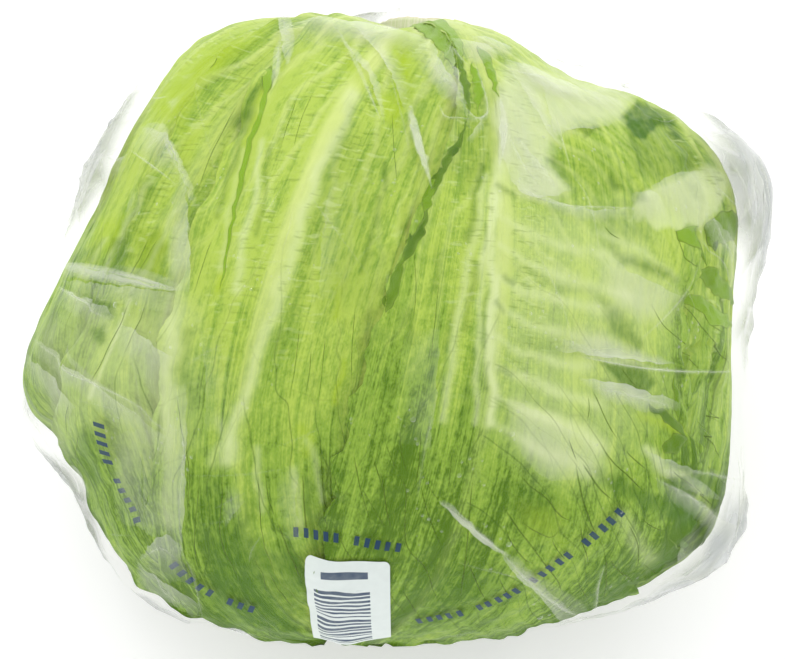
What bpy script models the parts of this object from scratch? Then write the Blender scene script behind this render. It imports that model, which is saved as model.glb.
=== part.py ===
"""A head of iceberg lettuce in a loose bag of clear film, lying on its side on a flat surface.

Metres, +Z up. The origin is on the surface, under the middle of the object. The stem end points
along +Y and the crown along -Y. Every leaf is a thin curved blade of its own, laid round the dense
inner head like the skins of an onion, each a step further out than the leaf that it covers.
"""

import math

import bmesh
import bpy
import numpy as np

MM = 0.001

# The head is broadest across a face that leans back from upright by this much. Both outlines
# below are drawn square on to that face: degrees round from +X, and millimetres from its middle.
# The leaves' outline is that of the topmost level, which the leaves at the sides lie below.
FACE_LEAN = math.radians(70)
LEAF_OUTLINE = (
    (5, 88.5), (24, 97), (40, 92.5), (58, 78), (72, 82.5), (90, 82), (108, 90.5), (125, 92.5), (141, 88),
    (154, 85), (171, 89.5), (190, 99), (205, 89), (221, 94), (238, 90), (258, 84), (272, 81), (286, 82.5),
    (308, 89.5), (328, 98), (346, 91),
)
FILM_OUTLINE = (
    (5, 95.5), (24, 108), (42, 96), (58, 85), (76, 86), (92, 87), (110, 92), (125, 94.5), (145, 95),
    (165, 92), (178, 93), (190, 102), (207, 94.5), (220, 98), (240, 92.5), (262, 85), (285, 86),
    (307, 93), (328, 107), (345, 95.5),
)
OVAL_HALF_WIDTH = 95 * MM
OVAL_HALF_LENGTH = 83 * MM
HALF_DEPTH = 76 * MM
FULLNESS = 2.15
PRESSED_FLAT = 4 * MM

# The leaves are laid on nested levels, from 4, the outermost, down to 0, next to the inner head.
TOP_LEVEL = 4
LEVEL_STEP = 2.2 * MM
BLADE_THICKNESS = 0.8 * MM
FLOOR_LAYER = 1.5 * MM
ABOVE_FILM = 0.6 * MM
PRESSED_SHARE = 0.9
STEM_AXIS = (0.10, 0.98, 0.17)
STEM_RADIUS = 13 * MM
STEM_PROUD = 1 * MM
STEM_SIDES = 20
PIECE_GAP = 0.4 * MM

# The film clears the topmost leaves by a gap, and is gathered into a taped neck at the back.
FILM_GAP = 2.6 * MM
FILM_THICKNESS = 0.6 * MM
NECK_AXIS = (0.0, 0.88, -0.475)
NECK_RADIUS = 5.5 * MM
NECK_HOLE = 2.2 * MM
NECK_OPENING_ANGLE = 22
PLEATS = 9
TAPE_WIDTH = 6 * MM
TAPE_THICKNESS = 1 * MM
TAPE_TAB = 15 * MM
TAPE_SIDES = 24
TAPE_TAB_INSET = 0.3 * MM


def unit(vector):
    vector = np.asarray(vector, float)
    return vector / np.linalg.norm(vector, axis=-1, keepdims=True)


FACE_RIGHT = np.array((1.0, 0.0, 0.0))
FACE_UP = np.array((0.0, math.sin(FACE_LEAN), math.cos(FACE_LEAN)))
FACE_OUT = np.array((0.0, -math.cos(FACE_LEAN), math.sin(FACE_LEAN)))
STEM = unit(STEM_AXIS)
ABOVE_STEM = unit(np.array((0.0, 0.0, 1.0)) - STEM[2] * STEM)
BESIDE_STEM = np.cross(STEM, ABOVE_STEM)
NECK = unit(NECK_AXIS)
ABOVE_NECK = unit(np.array((0.0, 0.0, 1.0)) - NECK[2] * NECK)
BESIDE_NECK = np.cross(NECK, ABOVE_NECK)


def smooth_through(points, at):
    """Values at some places of a smooth curve through a few (place, value) points."""
    place, value = np.array(points, float).T
    slope = np.gradient(value, place)
    i = np.clip(np.searchsorted(place, at, "right") - 1, 0, len(place) - 2)
    span = place[i + 1] - place[i]
    s = np.clip((at - place[i]) / span, 0, 1)
    start = (2 * s**3 - 3 * s**2 + 1) * value[i] + (s**3 - 2 * s**2 + s) * span * slope[i]
    end = (3 * s**2 - 2 * s**3) * value[i + 1] + (s**3 - s**2) * span * slope[i + 1]
    return start + end


def outline_radius(points, angle):
    """Radius of a closed outline at each angle round the broad face."""
    before = [(a - 360, r) for a, r in points[-2:]]
    after = [(a + 360, r) for a, r in points[:2]]
    return smooth_through([*before, *points, *after], np.degrees(angle) % 360) * MM


def face_angles(direction):
    """(angle round the broad face, cosine of the height out of it, sine of that height)"""
    right, up, out = direction @ FACE_RIGHT, direction @ FACE_UP, direction @ FACE_OUT
    return np.arctan2(up, right), np.hypot(right, up), out


def full_radius(direction, outline, half_depth):
    """A rounded form that has an outline across its broad face and fades to an oval above it."""
    angle, across, out = face_angles(direction)
    oval = 1 / np.hypot(np.cos(angle) / OVAL_HALF_WIDTH, np.sin(angle) / OVAL_HALF_LENGTH)
    oval = oval + half_depth - HALF_DEPTH
    edge = oval + (outline_radius(outline, angle) - oval) * across**4
    folded = (across / edge) ** FULLNESS + (np.abs(out) / half_depth) ** FULLNESS
    return folded ** (-1 / FULLNESS)


def leafy_radius(direction):
    """How far the topmost leaf level lies from the head's centre, each way."""
    return full_radius(direction, LEAF_OUTLINE, HALF_DEPTH)


def film_radius(direction):
    """How far the film's outer face lies from the head's centre, pouches and all, each way."""
    return full_radius(direction, FILM_OUTLINE, HALF_DEPTH + FILM_GAP)


def lowest_film_point():
    """How far the film would reach below the centre if nothing pressed it flat."""
    turns = np.radians(np.arange(0, 360, 4))
    dips = np.radians(np.arange(-90, -40, 2))
    turn, dip = np.meshgrid(turns, dips)
    downward = np.stack(
        (np.cos(dip) * np.cos(turn), np.cos(dip) * np.sin(turn), np.sin(dip)), axis=-1
    )
    return -(film_radius(downward) * downward[..., 2]).min()


CENTRE = np.array((0.0, 0.0, lowest_film_point() - PRESSED_FLAT))


def pressed(points, floor):
    """Points of one face, pushed up where they would lie below that face's floor."""
    points = points.copy()
    points[..., 2] = np.maximum(points[..., 2], floor)
    return points


def floor_of(level):
    """The height that a level is pressed up to; -1 is the inner head's."""
    return FILM_THICKNESS + ABOVE_FILM + (TOP_LEVEL - level) * FLOOR_LAYER


def join_grid(grid, wrap=False):
    """Two triangles for each cell of a grid of vertex numbers, seen from the side they face."""
    faces = []
    rows, columns = grid.shape
    for row in range(rows - 1):
        for column in range(columns if wrap else columns - 1):
            following = (column + 1) % columns
            a, b = grid[row, column], grid[row, following]
            c, d = grid[row + 1, following], grid[row + 1, column]
            faces += [(a, b, c), (a, c, d)]
    return faces


def add_object(name, points, faces, material):
    mesh = bpy.data.meshes.new(name)
    mesh.from_pydata([tuple(p) for p in points], [], [tuple(int(i) for i in f) for f in faces])
    work = bmesh.new()
    work.from_mesh(mesh)
    bmesh.ops.recalc_face_normals(work, faces=work.faces)
    work.to_mesh(mesh)
    work.free()
    mesh.shade_smooth()
    mesh.materials.append(material)
    made = bpy.data.objects.new(name, mesh)
    bpy.context.scene.collection.objects.link(made)
    return made


def plain_material(name, colour, roughness, alpha=1.0):
    material = bpy.data.materials.new(name)
    material.use_nodes = True
    shader = material.node_tree.nodes["Principled BSDF"]
    shader.inputs["Base Color"].default_value = (*colour, 1.0)
    shader.inputs["Roughness"].default_value = roughness
    shader.inputs["Alpha"].default_value = alpha
    return material


# One leaf. Its midrib leaves the stem at an azimuth, in degrees right of straight up, and drifts
# sideways as it goes. Its margins are (degrees from the stem, degrees from the midrib), and its
# frills are how far the left and right margins wave outward.
LEAVES = (
    dict(name="leaf_under_left", azimuth=-140, drift=0.0, level=0, tip=168, waves=5, phase=0.4,
         left=((10, 8), (50, 38), (95, 48), (130, 42), (168, 24)),
         right=((10, 8), (50, 34), (95, 44), (130, 40), (168, 22)), frills=(0.5, 0.5)),
    dict(name="leaf_under_right", azimuth=138, drift=0.0, level=1, tip=172, waves=5, phase=1.9,
         left=((10, 8), (50, 36), (95, 46), (130, 42), (172, 24)),
         right=((10, 8), (50, 36), (95, 46), (130, 44), (172, 24)), frills=(0.5, 1.5)),
    dict(name="leaf_left_outer", azimuth=-80, drift=-0.10, level=1, tip=140, waves=6, phase=0.9,
         left=((10, 8), (50, 30), (85, 38), (110, 38), (140, 26)),
         right=((10, 8), (50, 30), (85, 34), (110, 28), (140, 14)), frills=(4.0, 0.5)),
    dict(name="leaf_left_inner", azimuth=-46, drift=-0.25, level=2, tip=158, waves=6, phase=2.6,
         left=((10, 7), (50, 9), (84, 7), (99, 9), (110, 17), (121, 27), (138, 23), (158, 12)),
         right=((10, 8), (50, 30), (95, 38), (130, 34), (158, 18)), frills=(2.4, 0.5)),
    dict(name="leaf_right", azimuth=76, drift=0.06, level=2, tip=160, waves=7, phase=1.2,
         left=((10, 8), (50, 30), (95, 40), (130, 34), (160, 20)),
         right=((10, 8), (50, 30), (95, 38), (130, 34), (160, 20)), frills=(0.5, 3.0)),
    dict(name="leaf_centre", azimuth=-21, drift=-0.235, level=3, tip=172, waves=7, phase=0.2,
         left=((10, 7), (45, 16), (80, 17), (120, 16), (150, 19), (172, 14)),
         right=((10, 8), (45, 24), (80, 36), (120, 38), (150, 34), (172, 18)), frills=(2.0, 0.5)),
    dict(name="leaf_front", azimuth=20, drift=0.05, level=4, tip=174, waves=9, phase=1.7,
         left=((10, 5), (51, 6), (68, 11), (81, 17), (95, 21), (130, 24), (174, 14)),
         right=((10, 8), (40, 30), (70, 38), (95, 37), (115, 42), (145, 44), (174, 24)),
         frills=(1.4, 1.2)),
)
BLADE_ROWS = 20
BLADE_COLUMNS = (-1, -0.87, -0.69, -0.49, -0.28, -0.08, 0, 0.08, 0.28, 0.49, 0.69, 0.87, 1)
TIP_ROUNDING = 0.16
LAST_ROW = 0.985
SCALLOP = 0.05
RIB_HEIGHT = 0.8 * MM
RIB_SHARE = 0.10
QUILTING = 0.22 * MM
QUILT_ROWS = 9
QUILT_SLANT = 1.6


def leaf_direction(leaf, along, across):
    """Directions from the head's centre to a leaf's points, from its two angles in radians."""
    azimuth = math.radians(leaf["azimuth"]) + leaf["drift"] * (along - math.pi / 2)
    outward = np.cos(azimuth)[..., None] * ABOVE_STEM + np.sin(azimuth)[..., None] * BESIDE_STEM
    sideways = -np.sin(azimuth)[..., None] * ABOVE_STEM + np.cos(azimuth)[..., None] * BESIDE_STEM
    over = np.cos(along)[..., None] * STEM + np.sin(along)[..., None] * outward
    return np.cos(across)[..., None] * over + np.sin(across)[..., None] * sideways


def half_widths(leaf, along, side):
    """A blade's half width in radians, with scalloped margins and a blunt round tip."""
    degrees = np.degrees(along)
    left, right = smooth_through(leaf["left"], degrees), smooth_through(leaf["right"], degrees)
    share = degrees / leaf["tip"]
    scallops = 1 + SCALLOP * np.sin(3 * math.pi * leaf["waves"] * share + leaf["phase"]) * share
    into_tip = np.clip((share - 1 + TIP_ROUNDING) / TIP_ROUNDING, 0, 1)
    rounded = (1 - into_tip**2.5) ** 0.4
    return np.radians(np.where(side < 0, left, right)) * scallops * rounded


def leaf_relief(leaf, share, side):
    """How far a blade stands out from its level: midrib, quilting between veins, waved margin."""
    rib = RIB_HEIGHT * (1 - share) ** 0.8 * np.exp(-((side / RIB_SHARE) ** 2))
    quilt = QUILT_ROWS * share - QUILT_SLANT * np.abs(side)
    quilting = QUILTING * np.sin(2 * math.pi * quilt) * (1 - side**2)
    frill = np.where(side < 0, leaf["frills"][0], leaf["frills"][1]) * MM
    wave = 0.5 + 0.5 * np.sin(2 * math.pi * leaf["waves"] * share + leaf["phase"])
    margin = frill * np.abs(side) ** 4 * wave * np.minimum(1, 3 * share)
    return rib + quilting * np.minimum(1, 5 * share) + margin


def make_leaf(leaf, material):
    depth = (TOP_LEVEL - leaf["level"]) * LEVEL_STEP
    at_stem = leafy_radius(STEM) - depth - BLADE_THICKNESS
    base = math.asin((STEM_RADIUS + PIECE_GAP) / at_stem)
    share, side = np.meshgrid(
        np.linspace(0, LAST_ROW, BLADE_ROWS + 1), np.array(BLADE_COLUMNS), indexing="ij"
    )
    along = base + share * (math.radians(leaf["tip"]) - base)
    direction = leaf_direction(leaf, along, half_widths(leaf, along, side) * side)
    outer_radius = leafy_radius(direction) - depth + leaf_relief(leaf, share, side)
    outer = CENTRE + outer_radius[..., None] * direction
    inner = CENTRE + (outer_radius - BLADE_THICKNESS)[..., None] * direction
    floor = floor_of(leaf["level"])
    outer = pressed(outer, floor)
    inner = pressed(inner, floor + PRESSED_SHARE * BLADE_THICKNESS)

    outside = np.arange(share.size).reshape(share.shape)
    inside = outside + share.size
    faces = join_grid(outside) + [tuple(reversed(f)) for f in join_grid(inside)]
    last_row, last_column = share.shape[0] - 1, share.shape[1] - 1
    rim = [(0, c) for c in range(last_column)]
    rim += [(r, last_column) for r in range(last_row)]
    rim += [(last_row, c) for c in range(last_column, 0, -1)]
    rim += [(r, 0) for r in range(last_row, 0, -1)]
    for here, there in zip(rim, rim[1:] + rim[:1]):
        a, b, c, d = outside[here], outside[there], inside[there], inside[here]
        faces += [(b, a, d), (b, d, c)]
    points = np.concatenate((outer.reshape(-1, 3), inner.reshape(-1, 3)))
    return add_object(leaf["name"], points, faces, material)


# The dense inner head: closed leaves that show as shallow steps in its surface.
HEART_RINGS = 18
HEART_SEGMENTS = 28
HEART_STEP = 1.0 * MM
HEART_LEAVES = ((-100, 60), (20, 70), (140, 55), (-20, 40), (80, 35))
HEART_EDGE = math.radians(14)
HEART_FROM, HEART_TO = math.radians(13), math.radians(176)
SEAT_DEPTH = 2 * MM


def heart_relief(along, azimuth):
    """Shallow steps where the inner head's own leaves end, spiralling towards the crown."""
    height = np.zeros_like(along)
    for centre, half in HEART_LEAVES:
        away = np.abs(np.mod(azimuth - math.radians(centre) + math.pi, 2 * math.pi) - math.pi)
        lap = math.radians(half) * np.sin(np.clip(along, 0.4, math.pi)) ** 0.5
        height += 0.5 * HEART_STEP * np.clip((lap - away) / HEART_EDGE + 0.5, 0, 1)
    return height


def make_heart(material):
    depth = (TOP_LEVEL + 1) * LEVEL_STEP + HEART_STEP
    alongs = np.linspace(HEART_FROM, HEART_TO, HEART_RINGS)
    azimuths = np.linspace(0, 2 * math.pi, HEART_SEGMENTS, endpoint=False)
    along, azimuth = np.meshgrid(alongs, azimuths, indexing="ij")
    outward = np.cos(azimuth)[..., None] * ABOVE_STEM + np.sin(azimuth)[..., None] * BESIDE_STEM
    direction = np.cos(along)[..., None] * STEM + np.sin(along)[..., None] * outward
    radius = leafy_radius(direction) - depth + heart_relief(along, azimuth)
    skin = CENTRE + radius[..., None] * direction
    skin = pressed(skin, floor_of(-1))
    seat = CENTRE + (leafy_radius(STEM) - depth - SEAT_DEPTH) * STEM
    crown = CENTRE - (leafy_radius(-STEM) - depth) * STEM
    points = np.concatenate((skin.reshape(-1, 3), [seat, crown]))
    grid = np.arange(along.size).reshape(along.shape)
    seat_number, crown_number = along.size, along.size + 1
    faces = join_grid(grid, wrap=True)
    for column in range(HEART_SEGMENTS):
        following = (column + 1) % HEART_SEGMENTS
        faces.append((grid[0, following], grid[0, column], seat_number))
        faces.append((grid[-1, column], grid[-1, following], crown_number))
    return add_object("inner_head", points, faces, material)


def turned_rings(axis, beside, above, rings, sides):
    """Points of rings of (distance from the centre along the axis, radius), as a grid."""
    turn = np.linspace(0, 2 * math.pi, sides, endpoint=False)
    spoke = np.cos(turn)[:, None] * above + np.sin(turn)[:, None] * beside
    return np.array([CENTRE + along * axis + radius * spoke for along, radius in rings])


# The stem stops short of the inner head by a gap. Its rings are (distance from its inner end,
# narrowing) and then (distance back from its cut face, narrowing).
STEM_GAP = 1 * MM
STEM_INNER_RINGS = ((0, 3 * MM), (4 * MM, 0.5 * MM))
STEM_CUT_RINGS = ((3 * MM, 0), (0.8 * MM, 0.5 * MM), (0, 1.8 * MM))
STEM_DOME = 0.4 * MM


def make_stem(material):
    """The cut butt: a stub that stands in the ring of leaf bases, its cut face slightly domed."""
    inside = leafy_radius(STEM) - (TOP_LEVEL + 1) * LEVEL_STEP - HEART_STEP + STEM_GAP
    cut = leafy_radius(STEM) + STEM_PROUD
    rings = [(inside + past, STEM_RADIUS - narrower) for past, narrower in STEM_INNER_RINGS]
    rings += [(cut - back, STEM_RADIUS - narrower) for back, narrower in STEM_CUT_RINGS]
    skin = turned_rings(STEM, BESIDE_STEM, ABOVE_STEM, rings, STEM_SIDES)
    ends = [CENTRE + inside * STEM, CENTRE + (cut + STEM_DOME) * STEM]
    points = np.concatenate((skin.reshape(-1, 3), ends))
    grid = np.arange(len(rings) * STEM_SIDES).reshape(len(rings), STEM_SIDES)
    faces = join_grid(grid, wrap=True)
    for column in range(STEM_SIDES):
        following = (column + 1) % STEM_SIDES
        faces.append((grid[0, following], grid[0, column], grid.size))
        faces.append((grid[-1, column], grid[-1, following], grid.size + 1))
    return add_object("stem", points, faces, material)


FILM_SEGMENTS = 36
FILM_RINGS = 18
NECK_TOP = float(film_radius(NECK))
TAPE_START = NECK_TOP + 7 * MM
# From the loose tail end to the shoulder: distance past the shoulder, outer radius, wall.
NECK_RINGS = (
    (27 * MM, 13 * MM, FILM_THICKNESS),
    (20 * MM, 8.5 * MM, 1.5 * MM),
    (14.5 * MM, NECK_RADIUS, NECK_RADIUS - NECK_HOLE),
    (6 * MM, NECK_RADIUS, NECK_RADIUS - NECK_HOLE),
    (3 * MM, 9 * MM, 2 * MM),
    (0.3 * MM, 18 * MM, FILM_THICKNESS),
)
NECK_PLEAT = 0.12
BODY_PLEAT = 0.9 * MM
BODY_PLEAT_REACH = 0.6


def film_skin(inward):
    """One face of the bag as a grid, from its tail end round to the far side from the neck."""
    turn = np.linspace(0, 2 * math.pi, FILM_SEGMENTS, endpoint=False)
    spoke = np.cos(turn)[:, None] * ABOVE_NECK + np.sin(turn)[:, None] * BESIDE_NECK
    pleat = np.cos(PLEATS * turn)
    rows = []
    for past, radius, wall in NECK_RINGS:
        shrink = wall if inward else 0.0
        axial = NECK_TOP + past - (FILM_THICKNESS if inward and past < 5 * MM else 0.0)
        around = (radius * (1 + NECK_PLEAT * pleat) - shrink)[:, None]
        rows.append(CENTRE + axial * NECK + around * spoke)
    for angle in np.radians(np.linspace(NECK_OPENING_ANGLE, 178, FILM_RINGS)):
        direction = math.cos(angle) * NECK + math.sin(angle) * spoke
        gather = BODY_PLEAT * pleat * math.exp(-angle / BODY_PLEAT_REACH)
        radius = film_radius(direction) + gather - (FILM_THICKNESS if inward else 0.0)
        rows.append(CENTRE + radius[:, None] * direction)
    return pressed(np.array(rows), FILM_THICKNESS if inward else 0.0)


def make_film_bag(material):
    outer, inner = film_skin(inward=False), film_skin(inward=True)
    far = float(film_radius(-NECK))
    poles = [CENTRE - far * NECK, CENTRE - (far - FILM_THICKNESS) * NECK]
    count = outer.shape[0] * outer.shape[1]
    outside = np.arange(count).reshape(outer.shape[:2])
    inside = outside + count
    faces = join_grid(outside, wrap=True)
    faces += [tuple(reversed(f)) for f in join_grid(inside, wrap=True)]
    for column in range(FILM_SEGMENTS):
        following = (column + 1) % FILM_SEGMENTS
        faces.append((outside[-1, column], outside[-1, following], 2 * count))
        faces.append((inside[-1, following], inside[-1, column], 2 * count + 1))
        a, b = outside[0, column], outside[0, following]
        c, d = inside[0, following], inside[0, column]
        faces += [(b, a, d), (b, d, c)]
    points = np.concatenate((outer.reshape(-1, 3), inner.reshape(-1, 3), poles))
    return add_object("film_bag", points, faces, material)


def make_neck_tape(material):
    """The strip of tape round the gathered neck, with its two ends pressed into a flat tab."""
    bore = NECK_RADIUS * (1 + NECK_PLEAT) + PIECE_GAP
    rings = (
        (TAPE_START, bore),
        (TAPE_START, bore + TAPE_THICKNESS),
        (TAPE_START + TAPE_WIDTH, bore + TAPE_THICKNESS),
        (TAPE_START + TAPE_WIDTH, bore),
    )
    skin = turned_rings(NECK, BESIDE_NECK, ABOVE_NECK, rings, TAPE_SIDES)
    grid = np.arange(len(rings) * TAPE_SIDES).reshape(len(rings), TAPE_SIDES)
    band = add_object(
        "neck_tape", skin.reshape(-1, 3), join_grid(np.vstack((grid, grid[:1])), wrap=True), material
    )
    start, end = bore + 0.4 * TAPE_THICKNESS, bore + TAPE_TAB
    half = 0.4 * TAPE_THICKNESS
    corners = [
        CENTRE + along * NECK + out * BESIDE_NECK + high * ABOVE_NECK
        for along in (TAPE_START + TAPE_TAB_INSET, TAPE_START + TAPE_WIDTH - TAPE_TAB_INSET)
        for out in (start, end)
        for high in (-half, half)
    ]
    box = [(0, 1, 3, 2), (4, 6, 7, 5), (0, 4, 5, 1), (2, 3, 7, 6), (0, 2, 6, 4), (1, 5, 7, 3)]
    tab = add_object("tape_tab", corners, box, material)
    join = band.modifiers.new("join_tab", "BOOLEAN")
    join.operation = "UNION"
    join.object = tab
    tab.hide_render = True
    tab.display_type = "WIRE"
    return band


def main():
    for old in list(bpy.data.objects):
        bpy.data.objects.remove(old)
    inner_green = plain_material("inner_head", (0.58, 0.68, 0.30), 0.55)
    leaf_green = plain_material("leaf", (0.33, 0.52, 0.12), 0.45)
    cut_stem = plain_material("stem", (0.80, 0.74, 0.58), 0.6)
    clear_film = plain_material("film", (0.93, 0.96, 0.94), 0.15, alpha=0.25)
    white_tape = plain_material("tape", (0.86, 0.88, 0.90), 0.4)
    make_heart(inner_green)
    make_stem(cut_stem)
    for leaf in LEAVES:
        make_leaf(leaf, leaf_green)
    make_film_bag(clear_film)
    make_neck_tape(white_tape)


main()
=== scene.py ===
import math

import bpy
import numpy as np
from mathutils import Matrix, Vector


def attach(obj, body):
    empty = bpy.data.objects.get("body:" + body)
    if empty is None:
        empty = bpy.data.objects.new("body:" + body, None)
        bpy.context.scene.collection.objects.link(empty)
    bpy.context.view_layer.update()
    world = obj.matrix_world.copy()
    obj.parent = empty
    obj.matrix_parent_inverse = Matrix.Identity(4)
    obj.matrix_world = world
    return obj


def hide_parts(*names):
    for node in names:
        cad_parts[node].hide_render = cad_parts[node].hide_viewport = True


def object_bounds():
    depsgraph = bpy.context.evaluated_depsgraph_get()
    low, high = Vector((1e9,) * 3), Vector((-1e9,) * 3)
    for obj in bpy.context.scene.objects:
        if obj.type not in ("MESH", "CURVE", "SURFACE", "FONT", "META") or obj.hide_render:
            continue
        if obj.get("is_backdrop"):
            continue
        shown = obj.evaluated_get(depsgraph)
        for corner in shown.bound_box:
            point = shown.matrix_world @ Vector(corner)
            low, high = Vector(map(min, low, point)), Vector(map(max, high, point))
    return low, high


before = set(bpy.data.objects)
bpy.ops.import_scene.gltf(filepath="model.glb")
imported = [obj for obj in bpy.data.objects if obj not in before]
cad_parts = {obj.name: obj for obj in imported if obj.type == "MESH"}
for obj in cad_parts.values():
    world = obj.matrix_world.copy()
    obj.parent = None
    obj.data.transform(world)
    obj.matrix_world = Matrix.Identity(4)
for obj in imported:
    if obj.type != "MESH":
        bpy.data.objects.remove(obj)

cad_box = [list(corner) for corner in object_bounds()]
MM = 0.001

# The form that the whole head follows: an oval as deep as it is long, full like a cushion, with
# the outline of its broadest face. The face leans back from upright, and is drawn square on, in
# degrees round from +X and millimetres from its middle.
FACE_LEAN = math.radians(70)
FACE_RIGHT = np.array((1.0, 0.0, 0.0))
FACE_UP = np.array((0.0, math.sin(FACE_LEAN), math.cos(FACE_LEAN)))
FACE_OUT = np.array((0.0, -math.cos(FACE_LEAN), math.sin(FACE_LEAN)))
LEAF_OUTLINE = (
    (5, 88.5), (24, 97), (40, 92.5), (58, 81), (72, 83.5), (90, 82), (108, 90.5), (125, 92.5), (141, 88),
    (154, 85), (171, 89.5), (190, 99), (205, 89), (221, 94), (238, 90), (258, 84), (272, 81), (286, 82.5),
    (308, 89.5), (328, 98), (346, 91),
)
FILM_OUTLINE = (
    (5, 95.5), (24, 108), (42, 96), (58, 85), (76, 86), (92, 87), (110, 92), (125, 94.5), (145, 95),
    (165, 92), (178, 93), (190, 102), (207, 94.5), (220, 98), (240, 92.5), (262, 85), (285, 86),
    (307, 93), (328, 107), (345, 95.5),
)
OVAL_HALF_WIDTH = 95 * MM
OVAL_HALF_LENGTH = 83 * MM
HALF_DEPTH = 76 * MM
FILM_GAP = 2.6 * MM
FULLNESS = 2.15
PRESSED_FLAT = 4 * MM
# Round figures for how far the leaves and the film lie from the head's centre. They turn lengths
# along the surface into angles.
LEAF_REACH_MM = 85
LEAF_REACH = LEAF_REACH_MM * MM
FILM_REACH = 90 * MM


def unit(vectors):
    return vectors / np.linalg.norm(vectors, axis=-1, keepdims=True)


def beside_route(route):
    """Unit vectors square to a route of directions, along the surface."""
    return unit(np.cross(route, np.gradient(route, axis=0)))


def smooth_through(points, at):
    """Values at some places of a smooth curve through a few (place, value) points."""
    place, value = np.array(points, float).T
    slope = np.gradient(value, place)
    i = np.clip(np.searchsorted(place, at, "right") - 1, 0, len(place) - 2)
    span = place[i + 1] - place[i]
    s = np.clip((at - place[i]) / span, 0, 1)
    start = (2 * s**3 - 3 * s**2 + 1) * value[i] + (s**3 - 2 * s**2 + s) * span * slope[i]
    end = (3 * s**2 - 2 * s**3) * value[i + 1] + (s**3 - s**2) * span * slope[i + 1]
    return start + end


def outline_radius(points, angle):
    before = [(a - 360, r) for a, r in points[-2:]]
    after = [(a + 360, r) for a, r in points[:2]]
    return smooth_through([*before, *points, *after], np.degrees(angle) % 360) * MM


def face_angles(direction):
    """(angle round the broad face, cosine of the height out of it, sine of that height)"""
    right, up, out = direction @ FACE_RIGHT, direction @ FACE_UP, direction @ FACE_OUT
    return np.arctan2(up, right), np.hypot(right, up), out


def full_radius(direction, outline, half_depth):
    angle, across, out = face_angles(direction)
    oval = 1 / np.hypot(np.cos(angle) / OVAL_HALF_WIDTH, np.sin(angle) / OVAL_HALF_LENGTH)
    oval = oval + half_depth - HALF_DEPTH
    edge = oval + (outline_radius(outline, angle) - oval) * across**4
    folded = (across / edge) ** FULLNESS + (np.abs(out) / half_depth) ** FULLNESS
    return folded ** (-1 / FULLNESS)


def leafy_radius(direction):
    return full_radius(direction, LEAF_OUTLINE, HALF_DEPTH)


def bag_radius(direction):
    return full_radius(direction, FILM_OUTLINE, HALF_DEPTH + FILM_GAP)


def head_height():
    """The height of the head's middle, which lets the surface press it a little flat below."""
    turn, dip = np.meshgrid(np.radians(np.arange(0, 360, 4)), np.radians(np.arange(-90, -40, 2)))
    level = np.cos(dip)
    down = np.stack((level * np.cos(turn), level * np.sin(turn), np.sin(dip)), axis=-1)
    return -(bag_radius(down) * down[..., 2]).min() - PRESSED_FLAT


CENTRE = np.array((0.0, 0.0, head_height()))

# The camera looks down on the broad face from a metre off. It frames the bag as the photograph
# does, with the head's middle a little right of and below the picture's.
PICTURE_WIDTH = 785
PICTURE_HEIGHT = 659
PIXEL = 0.263 * MM
CAMERA_DISTANCE = 1.0
SENSOR_WIDTH = 36
AIM_OFFSET_PIXELS = (-2.5, 5.5)
SEARCH_IN_FRONT = 0.12
SEARCH_BEHIND = 0.005
SEARCH_STEPS = 22

camera = bpy.data.objects.new("camera", bpy.data.cameras.new("camera"))
bpy.context.scene.collection.objects.link(camera)
camera.data.sensor_width = SENSOR_WIDTH
camera.data.lens = SENSOR_WIDTH * CAMERA_DISTANCE / (PICTURE_WIDTH * PIXEL)
aim = CENTRE + PIXEL * (AIM_OFFSET_PIXELS[0] * FACE_RIGHT + AIM_OFFSET_PIXELS[1] * FACE_UP)
camera_place = aim + CAMERA_DISTANCE * FACE_OUT
camera.location = camera_place
camera.rotation_euler = Vector(-FACE_OUT).to_track_quat("-Z", "Y").to_euler()
bpy.context.scene.camera = camera


def picture_place(points):
    """Where points appear in the picture, in its pixels."""
    offset = points - camera_place
    pixels = CAMERA_DISTANCE / (PIXEL * -(offset @ FACE_OUT))
    across = PICTURE_WIDTH / 2 + offset @ FACE_RIGHT * pixels
    return across, PICTURE_HEIGHT / 2 - offset @ FACE_UP * pixels


def spots(pixels, radius_at):
    """Directions from the head's centre to where a skin of the given radius shows at some pixels."""
    pixels = np.asarray(pixels, float)
    right = (pixels[..., 0:1] - PICTURE_WIDTH / 2) * PIXEL * FACE_RIGHT
    up = (PICTURE_HEIGHT / 2 - pixels[..., 1:2]) * PIXEL * FACE_UP
    ray = aim + right + up - camera_place
    ray = ray / -(ray @ FACE_OUT)[..., None]
    outside = np.full(pixels.shape[:-1], CAMERA_DISTANCE - SEARCH_IN_FRONT)
    inside = np.full(pixels.shape[:-1], CAMERA_DISTANCE - SEARCH_BEHIND)
    for _ in range(SEARCH_STEPS):
        middle = (outside + inside) / 2
        place = camera_place + ray * middle[..., None] - CENTRE
        reach = np.linalg.norm(place, axis=-1)
        within = reach < radius_at(place / reach[..., None])
        inside, outside = np.where(within, middle, inside), np.where(within, outside, middle)
    return place / reach[..., None]


def spots_of(routes, radius_at):
    """The same for several routes of pixels at once."""
    found = spots([pixel for route in routes for pixel in route], radius_at)
    return np.split(found, np.cumsum([len(route) for route in routes])[:-1])


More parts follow.
